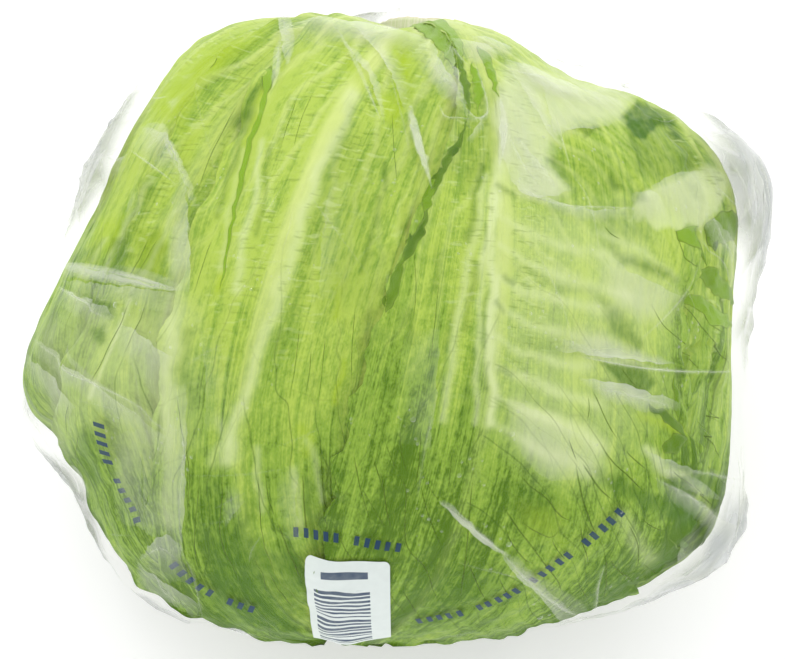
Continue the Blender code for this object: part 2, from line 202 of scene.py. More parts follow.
class Wire:
    """One socket of a material's nodes. Arithmetic on wires adds Math nodes."""

    def __init__(self, tree, socket=None):
        self.tree = tree
        self.socket = socket

    def node(self, kind, settings=None, sockets=None, out=0):
        """Any other node: its type, its settings, then the values or wires of its sockets."""
        made = self.tree.nodes.new("ShaderNode" + kind)
        for name, value in (settings or {}).items():
            setattr(made, name, value)
        for name, value in (sockets or {}).items():
            if isinstance(value, Wire):
                self.tree.links.new(value.socket, made.inputs[name])
            else:
                made.inputs[name].default_value = value
        return Wire(self.tree, made.outputs[out] if made.outputs else None)

    def math(self, operation, *values):
        return self.node("Math", {"operation": operation}, dict(enumerate([self, *values])))

    def __add__(self, other):
        return self.math("ADD", other)

    def __sub__(self, other):
        return self.math("SUBTRACT", other)

    def __rsub__(self, other):
        return (self * -1).math("ADD", other)

    def __mul__(self, other):
        return self.math("MULTIPLY", other)

    def __truediv__(self, other):
        return self.math("DIVIDE", other)

    def __abs__(self):
        return self.math("ABSOLUTE")

    __radd__ = __add__
    __rmul__ = __mul__

    def step(self, low, high):
        """A mask that is 0 up to low and 1 from high, smooth between."""
        limits = {"Value": self, "From Min": low, "From Max": high}
        return self.node("MapRange", {"interpolation_type": "SMOOTHSTEP"}, limits)

    def within(self, low, high):
        """A mask that is 1 between two values."""
        return self.math("GREATER_THAN", low) * self.math("LESS_THAN", high)

    def mix(self, dark, light):
        """The first colour where this mask is 0, and the second where it is 1."""
        return self.node("Mix", {"data_type": "RGBA"}, {0: self, 6: dark, 7: light}, out=2)

    def stored(self, name):
        """The three numbers that a mesh stores at its points under a name."""
        vector = self.node("Attribute", {"attribute_name": name}, out="Vector")
        return [self.node("SeparateXYZ", sockets={0: vector}, out=axis) for axis in "XYZ"]

    def triple(self, x, y, z=0.0):
        return self.node("CombineXYZ", sockets={0: x, 1: y, 2: z})

    def noise(self, x, y, z=0.0, detail=2.0):
        """A noise over three numbers, between 0 and 1."""
        return self.cloud(1.0, detail, self.triple(x, y, z))

    def cloud(self, scale, detail, place=None):
        """A noise over places of the object, or over the given vector."""
        place = place or self.node("TexCoord", out="Object")
        return self.node("TexNoise", sockets={"Vector": place, "Scale": scale, "Detail": detail})

    def cells(self, place, dimensions="3D"):
        """How far each place is from the edge of its cell in a net of cells."""
        settings = {"feature": "DISTANCE_TO_EDGE", "voronoi_dimensions": dimensions}
        return self.node("TexVoronoi", settings, {"Vector": place, "Scale": 1.0}, out="Distance")

    def bump(self, strength, distance, height):
        sockets = {"Strength": strength, "Distance": distance, "Height": height}
        return self.node("Bump", sockets=sockets)

    def full(self):
        """This mask held below 1."""
        return self.math("MINIMUM", 1.0)


def new_material(name):
    """A material with an empty tree, and a wire to build it with."""
    material = bpy.data.materials.new(name)
    material.use_nodes = True
    material.node_tree.nodes.clear()
    return material, Wire(material.node_tree)


def end_material(wire, shader):
    wire.node("OutputMaterial", sockets={"Surface": shader})


# The floor is a plain pale board under a soft white sky. A large soft box stands behind the head,
# as the picture's light comes from its top edge, and two small lamps glint in the film. One bounce
# from matt surfaces is enough here, and keeps the render short.
FLOOR_HALF = 3.0
FLOOR_DROP = 0.2 * MM
FLOOR_COLOUR = (0.95, 0.95, 0.95, 1)
FLOOR_SHADE = (0.92, 0.92, 0.92, 1)
LIGHT_BOXES = (
    ("light_behind", (-0.2, 1.0, 1.3), 2.4, 8),
    ("light_spark", (-0.5, 0.6, 1.3), 0.16, 1.4),
    ("light_side", (1.2, 0.5, 0.9), 0.2, 1.0),
)
SKY_STRENGTH = 0.93
LIGHT_BOUNCES = {
    "max_bounces": 3, "diffuse_bounces": 1, "glossy_bounces": 1, "transparent_max_bounces": 10,
}
FLOOR_GLOW = 0.30

material, wire = new_material("pale_floor")
grain = wire.node("TexNoise", sockets={"Scale": 40.0, "Detail": 3.0})
board = grain.mix(FLOOR_SHADE, FLOOR_COLOUR)
end_material(wire, wire.node("BsdfPrincipled", sockets={
    "Base Color": board, "Roughness": 0.8, "Emission Color": board, "Emission Strength": FLOOR_GLOW,
}))
bpy.ops.mesh.primitive_plane_add(size=2 * FLOOR_HALF, location=(0, 0, -FLOOR_DROP))
floor = bpy.context.object
floor.name = "floor"
floor.data.materials.append(material)
floor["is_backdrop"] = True
for name, place, size, power in LIGHT_BOXES:
    box = bpy.data.objects.new(name, bpy.data.lights.new(name, "AREA"))
    box.data.size, box.data.energy = size, power
    box.location = place
    box.rotation_euler = Vector(CENTRE - np.array(place)).to_track_quat("-Z", "Y").to_euler()
    bpy.context.scene.collection.objects.link(box)
world = bpy.data.worlds.new("soft_sky")
world.use_nodes = True
world.node_tree.nodes["Background"].inputs["Color"].default_value = (1, 1, 1, 1)
world.node_tree.nodes["Background"].inputs["Strength"].default_value = SKY_STRENGTH
bpy.context.scene.world = world
bpy.context.scene.view_settings.view_transform = "Standard"
for limit, bounces in LIGHT_BOUNCES.items():
    setattr(bpy.context.scene.cycles, limit, bounces)

# The wrapper leaves grow from the stem, each laid over the ones below it. A leaf is known by
# where its midrib runs round the stem, how that drifts sideways, how far its margins reach from
# the midrib, all in degrees seen from the head's centre, and how its margins wave.
STEM = unit(np.array((0.10, 0.98, 0.17)))
ABOVE_STEM = unit(np.array((0.0, 0.0, 1.0)) - STEM[2] * STEM)
BESIDE_STEM = np.cross(STEM, ABOVE_STEM)
STEM_RADIUS = 13 * MM
TOP_LEVEL = 4
LEVEL_STEP = 2.2 * MM
FLOOR_LAYER = 1.5 * MM
LOWEST_LEAF = 1.4 * MM
LEAF_THICKNESS = 0.45 * MM
LEAVES = (
    dict(name="leaf_under_left", azimuth=-140, drift=0.0, level=0, tip=168, waves=5, phase=0.4,
         left=((10, 8), (50, 38), (95, 48), (130, 42), (168, 24)),
         right=((10, 8), (50, 34), (95, 44), (130, 40), (168, 22)), frills=(0.5, 0.5),
         grid=(140, 110), spread=(2.5, 2.5), tone=0.1, rib=0.4, seed=11),
    dict(name="leaf_under_right", azimuth=138, drift=0.0, level=1, tip=172, waves=5, phase=1.9,
         left=((10, 8), (50, 36), (95, 46), (130, 42), (172, 24)),
         right=((10, 8), (50, 36), (95, 46), (130, 44), (172, 24)), frills=(0.5, 1.5),
         grid=(150, 120), spread=(2.5, 2.5), tone=0.15, rib=0.4, seed=12),
    dict(name="leaf_left_outer", azimuth=-80, drift=-0.10, level=1, tip=140, waves=6, phase=0.9,
         left=((10, 8), (50, 30), (85, 38), (110, 38), (140, 26)),
         right=((10, 8), (50, 30), (85, 34), (110, 28), (140, 14)), frills=(4.0, 0.5),
         grid=(200, 160), spread=(4.0, 3.5), tone=0.05, rib=0.3, seed=13),
    dict(name="leaf_left_inner", azimuth=-46, drift=-0.25, level=2, tip=158, waves=6, phase=2.6,
         left=((10, 7), (50, 9), (84, 7), (99, 9), (110, 17), (121, 27), (138, 23), (158, 12)),
         right=((10, 8), (50, 30), (95, 38), (130, 34), (158, 18)), frills=(2.4, 0.5),
         grid=(250, 170), spread=(4.5, 4.0), tone=0.0, rib=0.25, seed=14),
    dict(name="leaf_right", azimuth=76, drift=0.06, level=2, tip=160, waves=7, phase=1.2,
         left=((10, 8), (50, 30), (95, 40), (130, 34), (160, 20)),
         right=((10, 8), (50, 30), (95, 38), (130, 34), (160, 20)), frills=(0.5, 3.0),
         grid=(210, 165), spread=(2.0, 1.2), tone=0.1, rib=0.35, seed=15),
    dict(name="leaf_centre", azimuth=-21, drift=-0.235, level=3, tip=172, waves=7, phase=0.2,
         left=((10, 7), (45, 16), (80, 17), (120, 16), (150, 19), (172, 14)),
         right=((10, 8), (45, 24), (80, 36), (120, 38), (150, 34), (172, 18)), frills=(2.0, 0.5),
         grid=(310, 200), spread=(4.5, 4.5), tone=-0.05, rib=0.85, seed=16),
    dict(name="leaf_front", azimuth=20, drift=0.05, level=4, tip=174, waves=9, phase=1.7,
         left=((10, 5), (51, 6), (68, 11), (81, 17), (95, 21), (130, 24), (174, 14)),
         right=((10, 8), (40, 30), (70, 38), (95, 37), (115, 42), (145, 44), (174, 24)),
         frills=(1.4, 1.2), grid=(330, 260), spread=(3.2, 0.35), tone=0.08, rib=0.65, seed=17),
)
TIP_ROUNDING = 0.16
HEM_DEPTHS = (1.0, 1.0)
HEM_SHARE = 0.985
LAST_SHARE = 0.9995


def ripple(seed, size, *coordinates):
    """Smooth random swells between about -1 and 1, of a given size, the same on every run."""
    draw = np.random.default_rng(seed)
    total = 0.0
    waves = 9
    for _ in range(waves):
        heading = draw.normal(size=len(coordinates))
        heading *= draw.uniform(0.6, 1.4) * 2 * math.pi / size / np.linalg.norm(heading)
        phase = draw.uniform(0, 2 * math.pi)
        total = total + np.cos(sum(h * c for h, c in zip(heading, coordinates)) + phase)
    return total * math.sqrt(2 / waves) / 1.6


def leaf_direction(leaf, along, across):
    azimuth = math.radians(leaf["azimuth"]) + leaf["drift"] * (along - math.pi / 2)
    outward = np.cos(azimuth)[..., None] * ABOVE_STEM + np.sin(azimuth)[..., None] * BESIDE_STEM
    sideways = -np.sin(azimuth)[..., None] * ABOVE_STEM + np.cos(azimuth)[..., None] * BESIDE_STEM
    over = np.cos(along)[..., None] * STEM + np.sin(along)[..., None] * outward
    return np.cos(across)[..., None] * over + np.sin(across)[..., None] * sideways


def half_width(leaf, along, leftward):
    """A blade's reach in radians to one side, with scallops, fine teeth and a round tip."""
    degrees = np.degrees(along)
    left, right = smooth_through(leaf["left"], degrees), smooth_through(leaf["right"], degrees)
    share = degrees / leaf["tip"]
    scallops = 1 + 0.05 * np.sin(3 * math.pi * leaf["waves"] * share + leaf["phase"]) * share
    teeth = 1 + share * (
        0.020 * ripple(leaf["seed"], 5.0, degrees, 40.0 * leftward)
        + 0.009 * ripple(leaf["seed"] + 1, 1.9, degrees, 40.0 * leftward)
    )
    into_tip = np.clip((share - 1 + TIP_ROUNDING) / TIP_ROUNDING, 0, 1)
    rounded = np.maximum(1 - into_tip**2.5, 0) ** 0.4
    return np.radians(np.where(leftward, left, right)) * scallops * teeth * rounded


# Veins leave the midrib on both sides and bend towards the tip. Each lateral vein is a line where
# the number counted along the midrib is whole, and a branch forks from it further out. They stand
# out of the outer face as ribs, and the blade between them is quilted.
VEIN_ROOM = 9.0
VEIN_BEND = 64.0
FORK_START, FORK_END = 9.0, 34.0


def vein_slope(leaf, across_mm):
    """How far along the midrib a lateral vein runs for each millimetre that it runs outward."""
    return np.where(across_mm < 0, leaf["spread"][0], leaf["spread"][1])


def vein_number(leaf, along_mm, across_mm):
    """Which lateral vein a place is at, as a number that is whole on the vein."""
    away, slope = np.abs(across_mm), vein_slope(leaf, across_mm)
    label = along_mm - slope * away - away**2 / VEIN_BEND
    wander = 0.25 * ripple(leaf["seed"] + 2, 34, along_mm, across_mm)
    wander += 0.08 * ripple(leaf["seed"] + 3, 11, along_mm, across_mm)
    numbered = label / (VEIN_ROOM * np.hypot(1, slope))
    return numbered + wander * np.minimum(1, away / 12) + 0.37 * (across_mm < 0) + 40


def vein_room(leaf, across_mm):
    """How many millimetres lie between one lateral vein and the next."""
    slope = vein_slope(leaf, across_mm)
    bent = slope + 2 * np.abs(across_mm) / VEIN_BEND
    return VEIN_ROOM * np.hypot(1, slope) / np.hypot(1, bent)


def blade_relief(leaf, share, side, along_mm, across_mm, number, room):
    """How far a blade stands out from its level, in metres, at each of its points."""
    away = np.abs(across_mm)
    midrib = (1.15 - 0.95 * share) * np.exp(-((across_mm / (4.2 - 2.9 * share)) ** 2))
    beside = np.minimum(number % 1, 1 - number % 1) * room
    fork = np.clip((away - FORK_START) / (FORK_END - FORK_START), 0, 1)
    branch = np.abs(number % 1 - 0.5 * fork) * room
    fade = np.exp(-away / 26) * (1 - 0.6 * share)
    branch_rib = 0.6 * fork * np.exp(-((branch / 0.9) ** 2))
    ribs = 0.55 * fade * (np.exp(-((beside / 1.1) ** 2)) + branch_rib)
    quilting = 0.30 * np.sin(math.pi * (number % 1)) ** 2 * (0.4 + share) * np.minimum(1, away / 6)
    long_ribs = 0.22 * ripple(leaf["seed"] + 7, 10, across_mm / (0.35 + share))
    long_ribs = long_ribs * (1 - share) * np.minimum(1, away / 5)
    swell = 0.35 * ripple(leaf["seed"] + 4, 38, along_mm, across_mm)
    pucker = 0.16 * ripple(leaf["seed"] + 5, 8, along_mm, across_mm) * (0.3 + share)
    frill = np.where(side < 0, leaf["frills"][0], leaf["frills"][1])
    wave = 0.5 + 0.5 * np.sin(2 * math.pi * leaf["waves"] * share + leaf["phase"])
    fine_wave = 0.5 * ripple(leaf["seed"] + 6, 9, along_mm, 60.0 * (side < 0))
    margin = frill * (side**4 * wave + np.abs(side) ** 12 * fine_wave) * np.minimum(1, 3 * share)
    relief = quilting + long_ribs + swell + pucker
    return MM * (midrib + ribs + relief * np.minimum(1, 5 * share) + margin)


def leaf_places(leaf, along, across):
    """The numbers that shape and colour a blade, from its two angles in radians."""
    leftward = across < 0
    reach = np.maximum(half_width(leaf, along, leftward), 1e-4)
    side = np.clip(across / reach, -1, 1)
    along_mm, across_mm = along * LEAF_REACH_MM, across * LEAF_REACH_MM
    share = np.degrees(along) / leaf["tip"]
    number = vein_number(leaf, along_mm, across_mm)
    room = vein_room(leaf, across_mm)
    return side, share, along_mm, across_mm, number, room


def leaf_angles(leaf, direction):
    """Where on a leaf each direction from the head's centre falls, as the leaf's two angles."""
    along = np.arccos(np.clip(direction @ STEM, -1, 1))
    up, beside = direction @ ABOVE_STEM, direction @ BESIDE_STEM
    for _ in range(4):
        azimuth = math.radians(leaf["azimuth"]) + leaf["drift"] * (along - math.pi / 2)
        outward = np.cos(azimuth) * up + np.sin(azimuth) * beside
        sideways = np.cos(azimuth) * beside - np.sin(azimuth) * up
        along = np.arctan2(outward, direction @ STEM)
    return along, np.arcsin(np.clip(sideways, -1, 1))


# A leaf lies deep only under the leaves that cover it. Past their margins it rises towards the
# outermost level.
RISE = 0.85
RISE_WITHIN_MM = 26


def uncovered(leaf, direction):
    """How far out of the leaves above it a leaf has come at each place, from 0 to 1."""
    free = np.ones(direction.shape[:-1])
    for other in LEAVES:
        if other["level"] > leaf["level"]:
            along, across = leaf_angles(other, direction)
            tip = math.radians(other["tip"])
            on_leaf = np.clip(along, 0.01, tip)
            beyond = np.abs(across) - half_width(other, on_leaf, across < 0)
            beyond = np.maximum(beyond, np.maximum(along - tip, -4 * along))
            t = np.clip(LEAF_REACH_MM * beyond / RISE_WITHIN_MM, 0, 1)
            free = np.minimum(free, t * t * (3 - 2 * t))
    return free


def leaf_outer_radius(leaf, direction, along, across):
    side, share, along_mm, across_mm, number, room = leaf_places(leaf, along, across)
    depth = (TOP_LEVEL - leaf["level"]) * LEVEL_STEP * (1 - RISE * uncovered(leaf, direction))
    relief = blade_relief(leaf, share, side, along_mm, across_mm, number, room)
    return leafy_radius(direction) - depth + relief


def floor_of(level):
    return LOWEST_LEAF + (TOP_LEVEL - level) * FLOOR_LAYER


def grid_faces(rows, columns, wrap=False):
    """The corner numbers of a grid's quads, seen from the side they face."""
    number = np.arange(rows * columns).reshape(rows, columns)
    if wrap:
        number = np.hstack((number, number[:, :1]))
    corners = (number[:-1, :-1], number[:-1, 1:], number[1:, 1:], number[1:, :-1])
    return np.stack(corners, axis=-1).reshape(-1, 4)


def add_piece(name, points, faces, material, stored=None):
    """An object of the given mesh that rides on the one body, with numbers stored at its points."""
    mesh = bpy.data.meshes.new(name)
    mesh.from_pydata(points.reshape(-1, 3).tolist(), [], faces.tolist())
    for key, values in (stored or {}).items():
        layer = mesh.attributes.new(key, "FLOAT_VECTOR", "POINT")
        layer.data.foreach_set("vector", np.asarray(values, np.float32).ravel())
    mesh.shade_smooth()
    mesh.materials.append(material)
    piece = bpy.data.objects.new(name, mesh)
    bpy.context.scene.collection.objects.link(piece)
    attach(piece, "root")
    return piece


# Markings of the wrapper leaves as the picture shows them, in its pixels: closed outlines, with how
# soft their edge is and how strong they are, and strokes, with their half widths at both ends and
# their strength. They colour only what stands out of the head's middle plane towards the camera.
# Pale marks are partly paler leaf and partly a painted highlight where the film's sheen lies on the
# leaf. Dark marks are partly darker, wetter leaf and partly painted shade beside raised leaf edges
# and creases and in gaps under curled margins.
MARK_KINDS = {"pale": 0, "dark": 1, "yellow": 2}
MARKED_DEPTH = 20 * MM
STROKE_FALL = 1.4
LEAF_PATCHES = (
    ("pale", ((500, 70), (520, 60), (560, 70), (636, 92), (622, 122), (578, 120), (552, 140),
     (550, 160), (570, 188), (556, 198), (520, 196), (508, 180), (500, 150), (497, 110)), 7, 0.68),
    ("pale", ((498, 200), (640, 210), (664, 300), (656, 400), (600, 480), (540, 470), (500, 430),
     (492, 300)), 24, 0.3),
    ("pale", ((636, 202), (646, 190), (664, 186), (684, 174), (706, 164), (722, 176), (727, 198),
     (721, 212), (708, 219), (699, 229), (688, 221), (678, 231), (668, 224), (656, 228), (646, 217),
     (640, 221), (632, 211)), 2.5, 0.66),
    ("dark", ((686, 178), (700, 184), (704, 204), (694, 200)), 3, 0.18),
    ("pale", ((600, 258), (640, 274), (682, 296), (664, 322), (620, 312)), 9, 0.34),
    ("pale", ((515, 400), (560, 410), (606, 440), (600, 474), (552, 478), (520, 450)), 10, 0.28),
    ("dark", ((639, 99), (655, 106), (676, 120), (668, 126), (656, 124), (648, 138), (634, 134),
     (622, 120)), 2.5, 0.85),
    ("dark", ((622, 122), (660, 124), (680, 138), (692, 152), (696, 166), (680, 174), (660, 182),
     (640, 172), (628, 150)), 5, 0.42),
    ("dark", ((664, 120), (676, 124), (683, 140), (676, 142), (668, 132)), 2.5, 0.6),
    ("dark", ((560, 144), (598, 150), (640, 168), (640, 196), (600, 202), (578, 190), (566, 170)), 10,
     0.18),
    ("dark", ((577, 124), (586, 128), (598, 127), (594, 133), (584, 139)), 2, 0.45),
    ("dark", ((546, 154), (557, 156), (566, 170), (576, 190), (569, 188), (556, 168)), 2.5, 0.4),
    ("dark", ((610, 170), (620, 178), (624, 190), (612, 188)), 4, 0.45),
    ("dark", ((628, 196), (642, 189), (648, 204), (634, 206)), 3, 0.35),
    ("dark", ((610, 243), (626, 253), (648, 262), (664, 270), (680, 283), (660, 278), (640, 268),
     (620, 264)), 4, 0.5),
    ("dark", ((600, 298), (620, 314), (644, 342), (638, 356), (618, 338), (604, 316)), 5, 0.5),
    ("dark", ((604, 362), (642, 366), (656, 384), (640, 393), (620, 386)), 3, 0.7),
    ("dark", ((590, 466), (620, 478), (650, 494), (690, 506), (722, 540), (714, 547), (690, 532),
     (660, 512), (640, 504), (610, 492)), 5, 0.62),
    ("dark", ((500, 492), (524, 482), (548, 490), (562, 506), (562, 534), (540, 534), (518, 512)), 10,
     0.36),
    ("dark", ((684, 478), (700, 486), (714, 508), (722, 516), (727, 490), (712, 472), (692, 468)), 5,
     0.45),
    ("dark", ((652, 566), (684, 552), (716, 548), (722, 570), (704, 592), (672, 604), (650, 596)), 6,
     0.55),
    ("dark", ((440, 560), (500, 566), (520, 590), (500, 628), (420, 636), (400, 590)), 22, 0.34),
    ("dark", ((590, 560), (640, 572), (620, 600), (585, 612)), 12, 0.34),
    ("dark", ((252, 500), (258, 512), (246, 530), (300, 560), (300, 636), (230, 628), (206, 606),
     (205, 580), (216, 552), (238, 524)), 9, 0.56),
    ("dark", ((200, 470), (222, 468), (226, 520), (214, 560), (200, 540)), 9, 0.34),
    ("dark", ((273, 76), (262, 92), (256, 106), (248, 122), (244, 133), (232, 128), (238, 110),
     (252, 90)), 4, 0.62),
    ("dark", ((112, 240), (126, 236), (132, 250), (128, 279), (108, 276), (116, 258)), 4, 0.55),
    ("dark", ((140, 232), (158, 230), (168, 250), (150, 277), (134, 280)), 4, 0.3),
    ("dark", ((92, 330), (104, 326), (107, 340), (100, 346), (95, 340)), 3, 0.65),
    ("dark", ((78, 294), (96, 300), (116, 303), (112, 317), (100, 312)), 3, 0.6),
    ("dark", ((68, 254), (88, 246), (102, 240), (92, 262), (68, 266)), 4, 0.4),
    ("dark", ((76, 430), (92, 430), (98, 480), (86, 482), (76, 460)), 6, 0.45),
    ("pale", ((104, 300), (190, 304), (190, 440), (124, 470), (98, 400)), 20, 0.4),
    ("pale", ((30, 330), (80, 290), (110, 330), (90, 420), (60, 470), (40, 430)), 16, 0.3),
    ("dark", ((340, 130), (386, 130), (374, 300), (322, 310), (318, 220)), 16, 0.18),
    ("dark", ((396, 70), (432, 90), (430, 170), (396, 176)), 14, 0.16),
    ("dark", ((455, 90), (498, 90), (498, 170), (470, 190), (445, 170)), 10, 0.28),
    ("dark", ((594, 206), (650, 206), (652, 240), (600, 240)), 9, 0.24),
    ("dark", ((676, 150), (706, 150), (712, 176), (680, 176)), 9, 0.24),
    ("yellow", ((392, 18), (414, 28), (414, 66), (410, 104), (398, 112), (390, 60)), 6, 0.85),
    ("yellow", ((374, 88), (390, 94), (400, 112), (396, 126), (380, 118)), 5, 0.6),
    ("yellow", ((338, 44), (352, 50), (374, 80), (362, 92), (346, 68)), 6, 0.5),
    ("yellow", ((180, 50), (230, 30), (275, 18), (240, 52), (205, 80), (180, 120), (150, 112),
     (160, 80)), 9, 0.75),
    ("yellow", ((140, 232), (158, 230), (170, 250), (152, 277), (136, 280)), 5, 0.6),
    ("yellow", ((98, 220), (124, 216), (124, 236), (112, 258), (100, 250)), 6, 0.5),
    ("yellow", ((180, 128), (200, 120), (190, 156), (180, 160)), 6, 0.4),
    ("yellow", ((130, 300), (150, 318), (160, 342), (140, 340), (122, 322)), 5, 0.4),
    ("yellow", ((520, 500), (560, 512), (560, 540), (530, 536)), 10, 0.4),
)
LEAF_STROKES = (
    ("pale", ((352, 94), (345, 120), (335, 140), (322, 165), (312, 190), (303, 215), (297, 240),
     (290, 262), (280, 290), (270, 320), (260, 350), (251, 375), (243, 400), (234, 430), (228, 460)),
     (8, 8), 0.66),
    ("dark", ((352, 112), (338, 150), (324, 195), (314, 235), (304, 270), (292, 310), (280, 350)),
     (9, 10), 0.2),
    ("pale", ((263, 140), (258, 178), (250, 212), (243, 245), (236, 290)), (4, 6), 0.55),
    ("dark", ((271, 146), (267, 178), (263, 208), (257, 236)), (3, 4), 0.34),
    ("yellow", ((266, 90), (254, 116), (244, 146), (236, 176), (230, 210), (224, 250), (218, 290)),
     (5, 6), 0.6),
    ("pale", ((242, 150), (234, 190), (228, 230), (220, 270)), (4, 5), 0.35),
    ("dark", ((240, 134), (234, 160), (226, 186), (219, 215)), (5, 4), 0.4),
    ("dark", ((290, 95), (284, 130), (276, 160)), (2, 2), 0.2),
    ("dark", ((385, 163), (384, 188)), (4, 3), 0.42),
    ("dark", ((379, 196), (375, 220), (371, 246)), (4, 3), 0.36),
    ("dark", ((367, 248), (364, 272)), (4, 3), 0.3),
    ("yellow", ((338, 284), (336, 300), (334, 318)), (6, 4), 0.6),
    ("yellow", ((343, 362), (340, 380), (336, 400)), (4, 4), 0.6),
    ("yellow", ((300, 430), (310, 440), (306, 455)), (7, 5), 0.5),
    ("dark", ((372, 312), (368, 336), (366, 360)), (5, 4), 0.3),
    ("dark", ((386, 372), (389, 402)), (4, 4), 0.34),
    ("dark", ((333, 462), (336, 474)), (6, 6), 0.34),
    ("pale", ((501, 96), (502, 140), (499, 176), (494, 206), (489, 244), (492, 276), (494, 300),
     (489, 330), (490, 360), (495, 386), (490, 420)), (7, 7), 0.75),
    ("pale", ((486, 176), (476, 226), (468, 268), (458, 318), (450, 372), (444, 420)), (5, 6), 0.48),
    ("pale", ((494, 196), (484, 240), (480, 290), (478, 350), (474, 420)), (4, 4), 0.42),
    ("dark", ((481, 168), (472, 214), (468, 240)), (5, 4), 0.45),
    ("dark", ((477, 262), (470, 300), (466, 330)), (5, 4), 0.34),
    ("dark", ((437, 258), (434, 290)), (6, 5), 0.32),
    ("dark", ((452, 310), (446, 350)), (5, 5), 0.3),
    ("dark", ((474, 350), (468, 390), (462, 424)), (4, 4), 0.4),
    ("dark", ((412, 316), (410, 344)), (5, 4), 0.4),
    ("dark", ((434, 350), (430, 400)), (5, 5), 0.3),
    ("dark", ((486, 296), (484, 318)), (3, 3), 0.3),
    ("dark", ((483, 226), (484, 248)), (3, 3), 0.3),
    ("dark", ((482, 322), (484, 346)), (3, 3), 0.3),
    ("dark", ((489, 362), (485, 392)), (3, 3), 0.3),
    ("dark", ((504, 276), (514, 284)), (4, 3), 0.4),
    ("dark", ((497, 304), (505, 312)), (4, 3), 0.4),
    ("dark", ((502, 368), (512, 374)), (4, 3), 0.4),
    ("dark", ((496, 398), (506, 404)), (4, 3), 0.34),
    ("dark", ((500, 186), (514, 196)), (4, 3), 0.4),
    ("pale", ((500, 216), (530, 234), (580, 250), (630, 258)), (4, 9), 0.3),
    ("pale", ((500, 244), (525, 262), (570, 280), (630, 296)), (4, 9), 0.34),
    ("pale", ((500, 276), (524, 292), (560, 300), (610, 312)), (4, 9), 0.38),
    ("pale", ((498, 306), (524, 322), (560, 334), (604, 342)), (4, 9), 0.34),
    ("pale", ((498, 338), (520, 352), (560, 362), (590, 366)), (4, 8), 0.34),
    ("pale", ((500, 366), (524, 380), (556, 390), (600, 406)), (4, 9), 0.4),
    ("pale", ((498, 396), (522, 410), (556, 420), (600, 446)), (4, 10), 0.4),
    ("pale", ((494, 424), (516, 438), (546, 452), (590, 470)), (4, 10), 0.34),
    ("dark", ((520, 270), (560, 286), (596, 290)), (5, 6), 0.16),
    ("dark", ((520, 340), (556, 350), (586, 352)), (5, 6), 0.16),
    ("dark", ((524, 400), (556, 408), (590, 424)), (4, 5), 0.16),
    ("pale", ((180, 230), (176, 300), (168, 380), (170, 440), (168, 520)), (10, 12), 0.42),
    ("dark", ((188, 330), (184, 370), (190, 400)), (9, 8), 0.3),
    ("pale", ((130, 300), (110, 350), (90, 400)), (3, 3), 0.4),
    ("pale", ((150, 180), (124, 230), (106, 270)), (4, 4), 0.35),
    ("pale", ((176, 210), (150, 262), (132, 290)), (4, 4), 0.35),
    ("dark", ((152, 190), (140, 214), (130, 240)), (8, 8), 0.3),
    ("pale", ((104, 240), (92, 262)), (3, 3), 0.4),
    ("pale", ((256, 450), (258, 480), (262, 510)), (5, 4), 0.4),
    ("pale", ((216, 420), (226, 440), (212, 460)), (8, 8), 0.3),
    ("pale", ((306, 440), (318, 470), (322, 500)), (4, 3), 0.3),
    ("dark", ((309, 480), (310, 510), (314, 545)), (5, 6), 0.5),
    ("dark", ((282, 530), (292, 556), (304, 584)), (5, 5), 0.45),
    ("pale", ((294, 470), (298, 500), (300, 530)), (5, 5), 0.4),
    ("pale", ((740, 300), (736, 380), (734, 440)), (6, 6), 0.3),
    ("pale", ((600, 232), (640, 250), (676, 280)), (4, 5), 0.3),
    ("pale", ((690, 480), (712, 520), (722, 540)), (4, 4), 0.3),
    ("pale", ((645, 452), (664, 470), (690, 474)), (6, 5), 0.6),
    ("yellow", ((640, 416), (664, 424), (684, 432)), (6, 6), 0.6),
    ("pale", ((622, 520), (640, 545), (650, 560)), (10, 10), 0.3),
)


def from_side(x, y, start, end):
    """How far places are from a straight side, and what share of its length they are along."""
    x, y = x - start[0], y - start[1]
    side_x, side_y = end[0] - start[0], end[1] - start[1]
    share = np.clip((x * side_x + y * side_y) / math.hypot(side_x, side_y) ** 2, 0, 1)
    return np.hypot(x - share * side_x, y - share * side_y), share


def inside_by(x, y, corners):
    """How far places lie inside a closed outline, or outside it with a minus."""
    nearest, inside = np.full(x.shape, np.inf), np.zeros(x.shape, bool)
    for (ax, ay), (bx, by) in zip(corners, corners[1:] + corners[:1]):
        nearest = np.minimum(nearest, from_side(x, y, (ax, ay), (bx, by))[0])
        if ay != by:
            inside ^= ((ay > y) != (by > y)) & (x < ax + (y - ay) * (bx - ax) / (by - ay))
    return np.where(inside, nearest, -nearest)


# Leaf colours: yellow-green blades with pale juicy ribs near the base, deeper green towards the
# tip, and a net of fine dark veins where the blade is thin.
DEEP_GREEN = (0.085, 0.185, 0.003, 1)
MID_GREEN = (0.25, 0.41, 0.042, 1)
LIGHT_GREEN = (0.44, 0.59, 0.085, 1)
RIB_GREEN = (0.66, 0.76, 0.26, 1)
PALE_BASE = (0.68, 0.78, 0.32, 1)
VEIN_GREEN = (0.045, 0.120, 0.003, 1)
SHADE_AND_WET_GREEN = (0.060, 0.165, 0.002, 1)
YELLOW_GREEN = (0.40, 0.56, 0.018, 1)
PALE_GREEN = (0.66, 0.76, 0.36, 1)

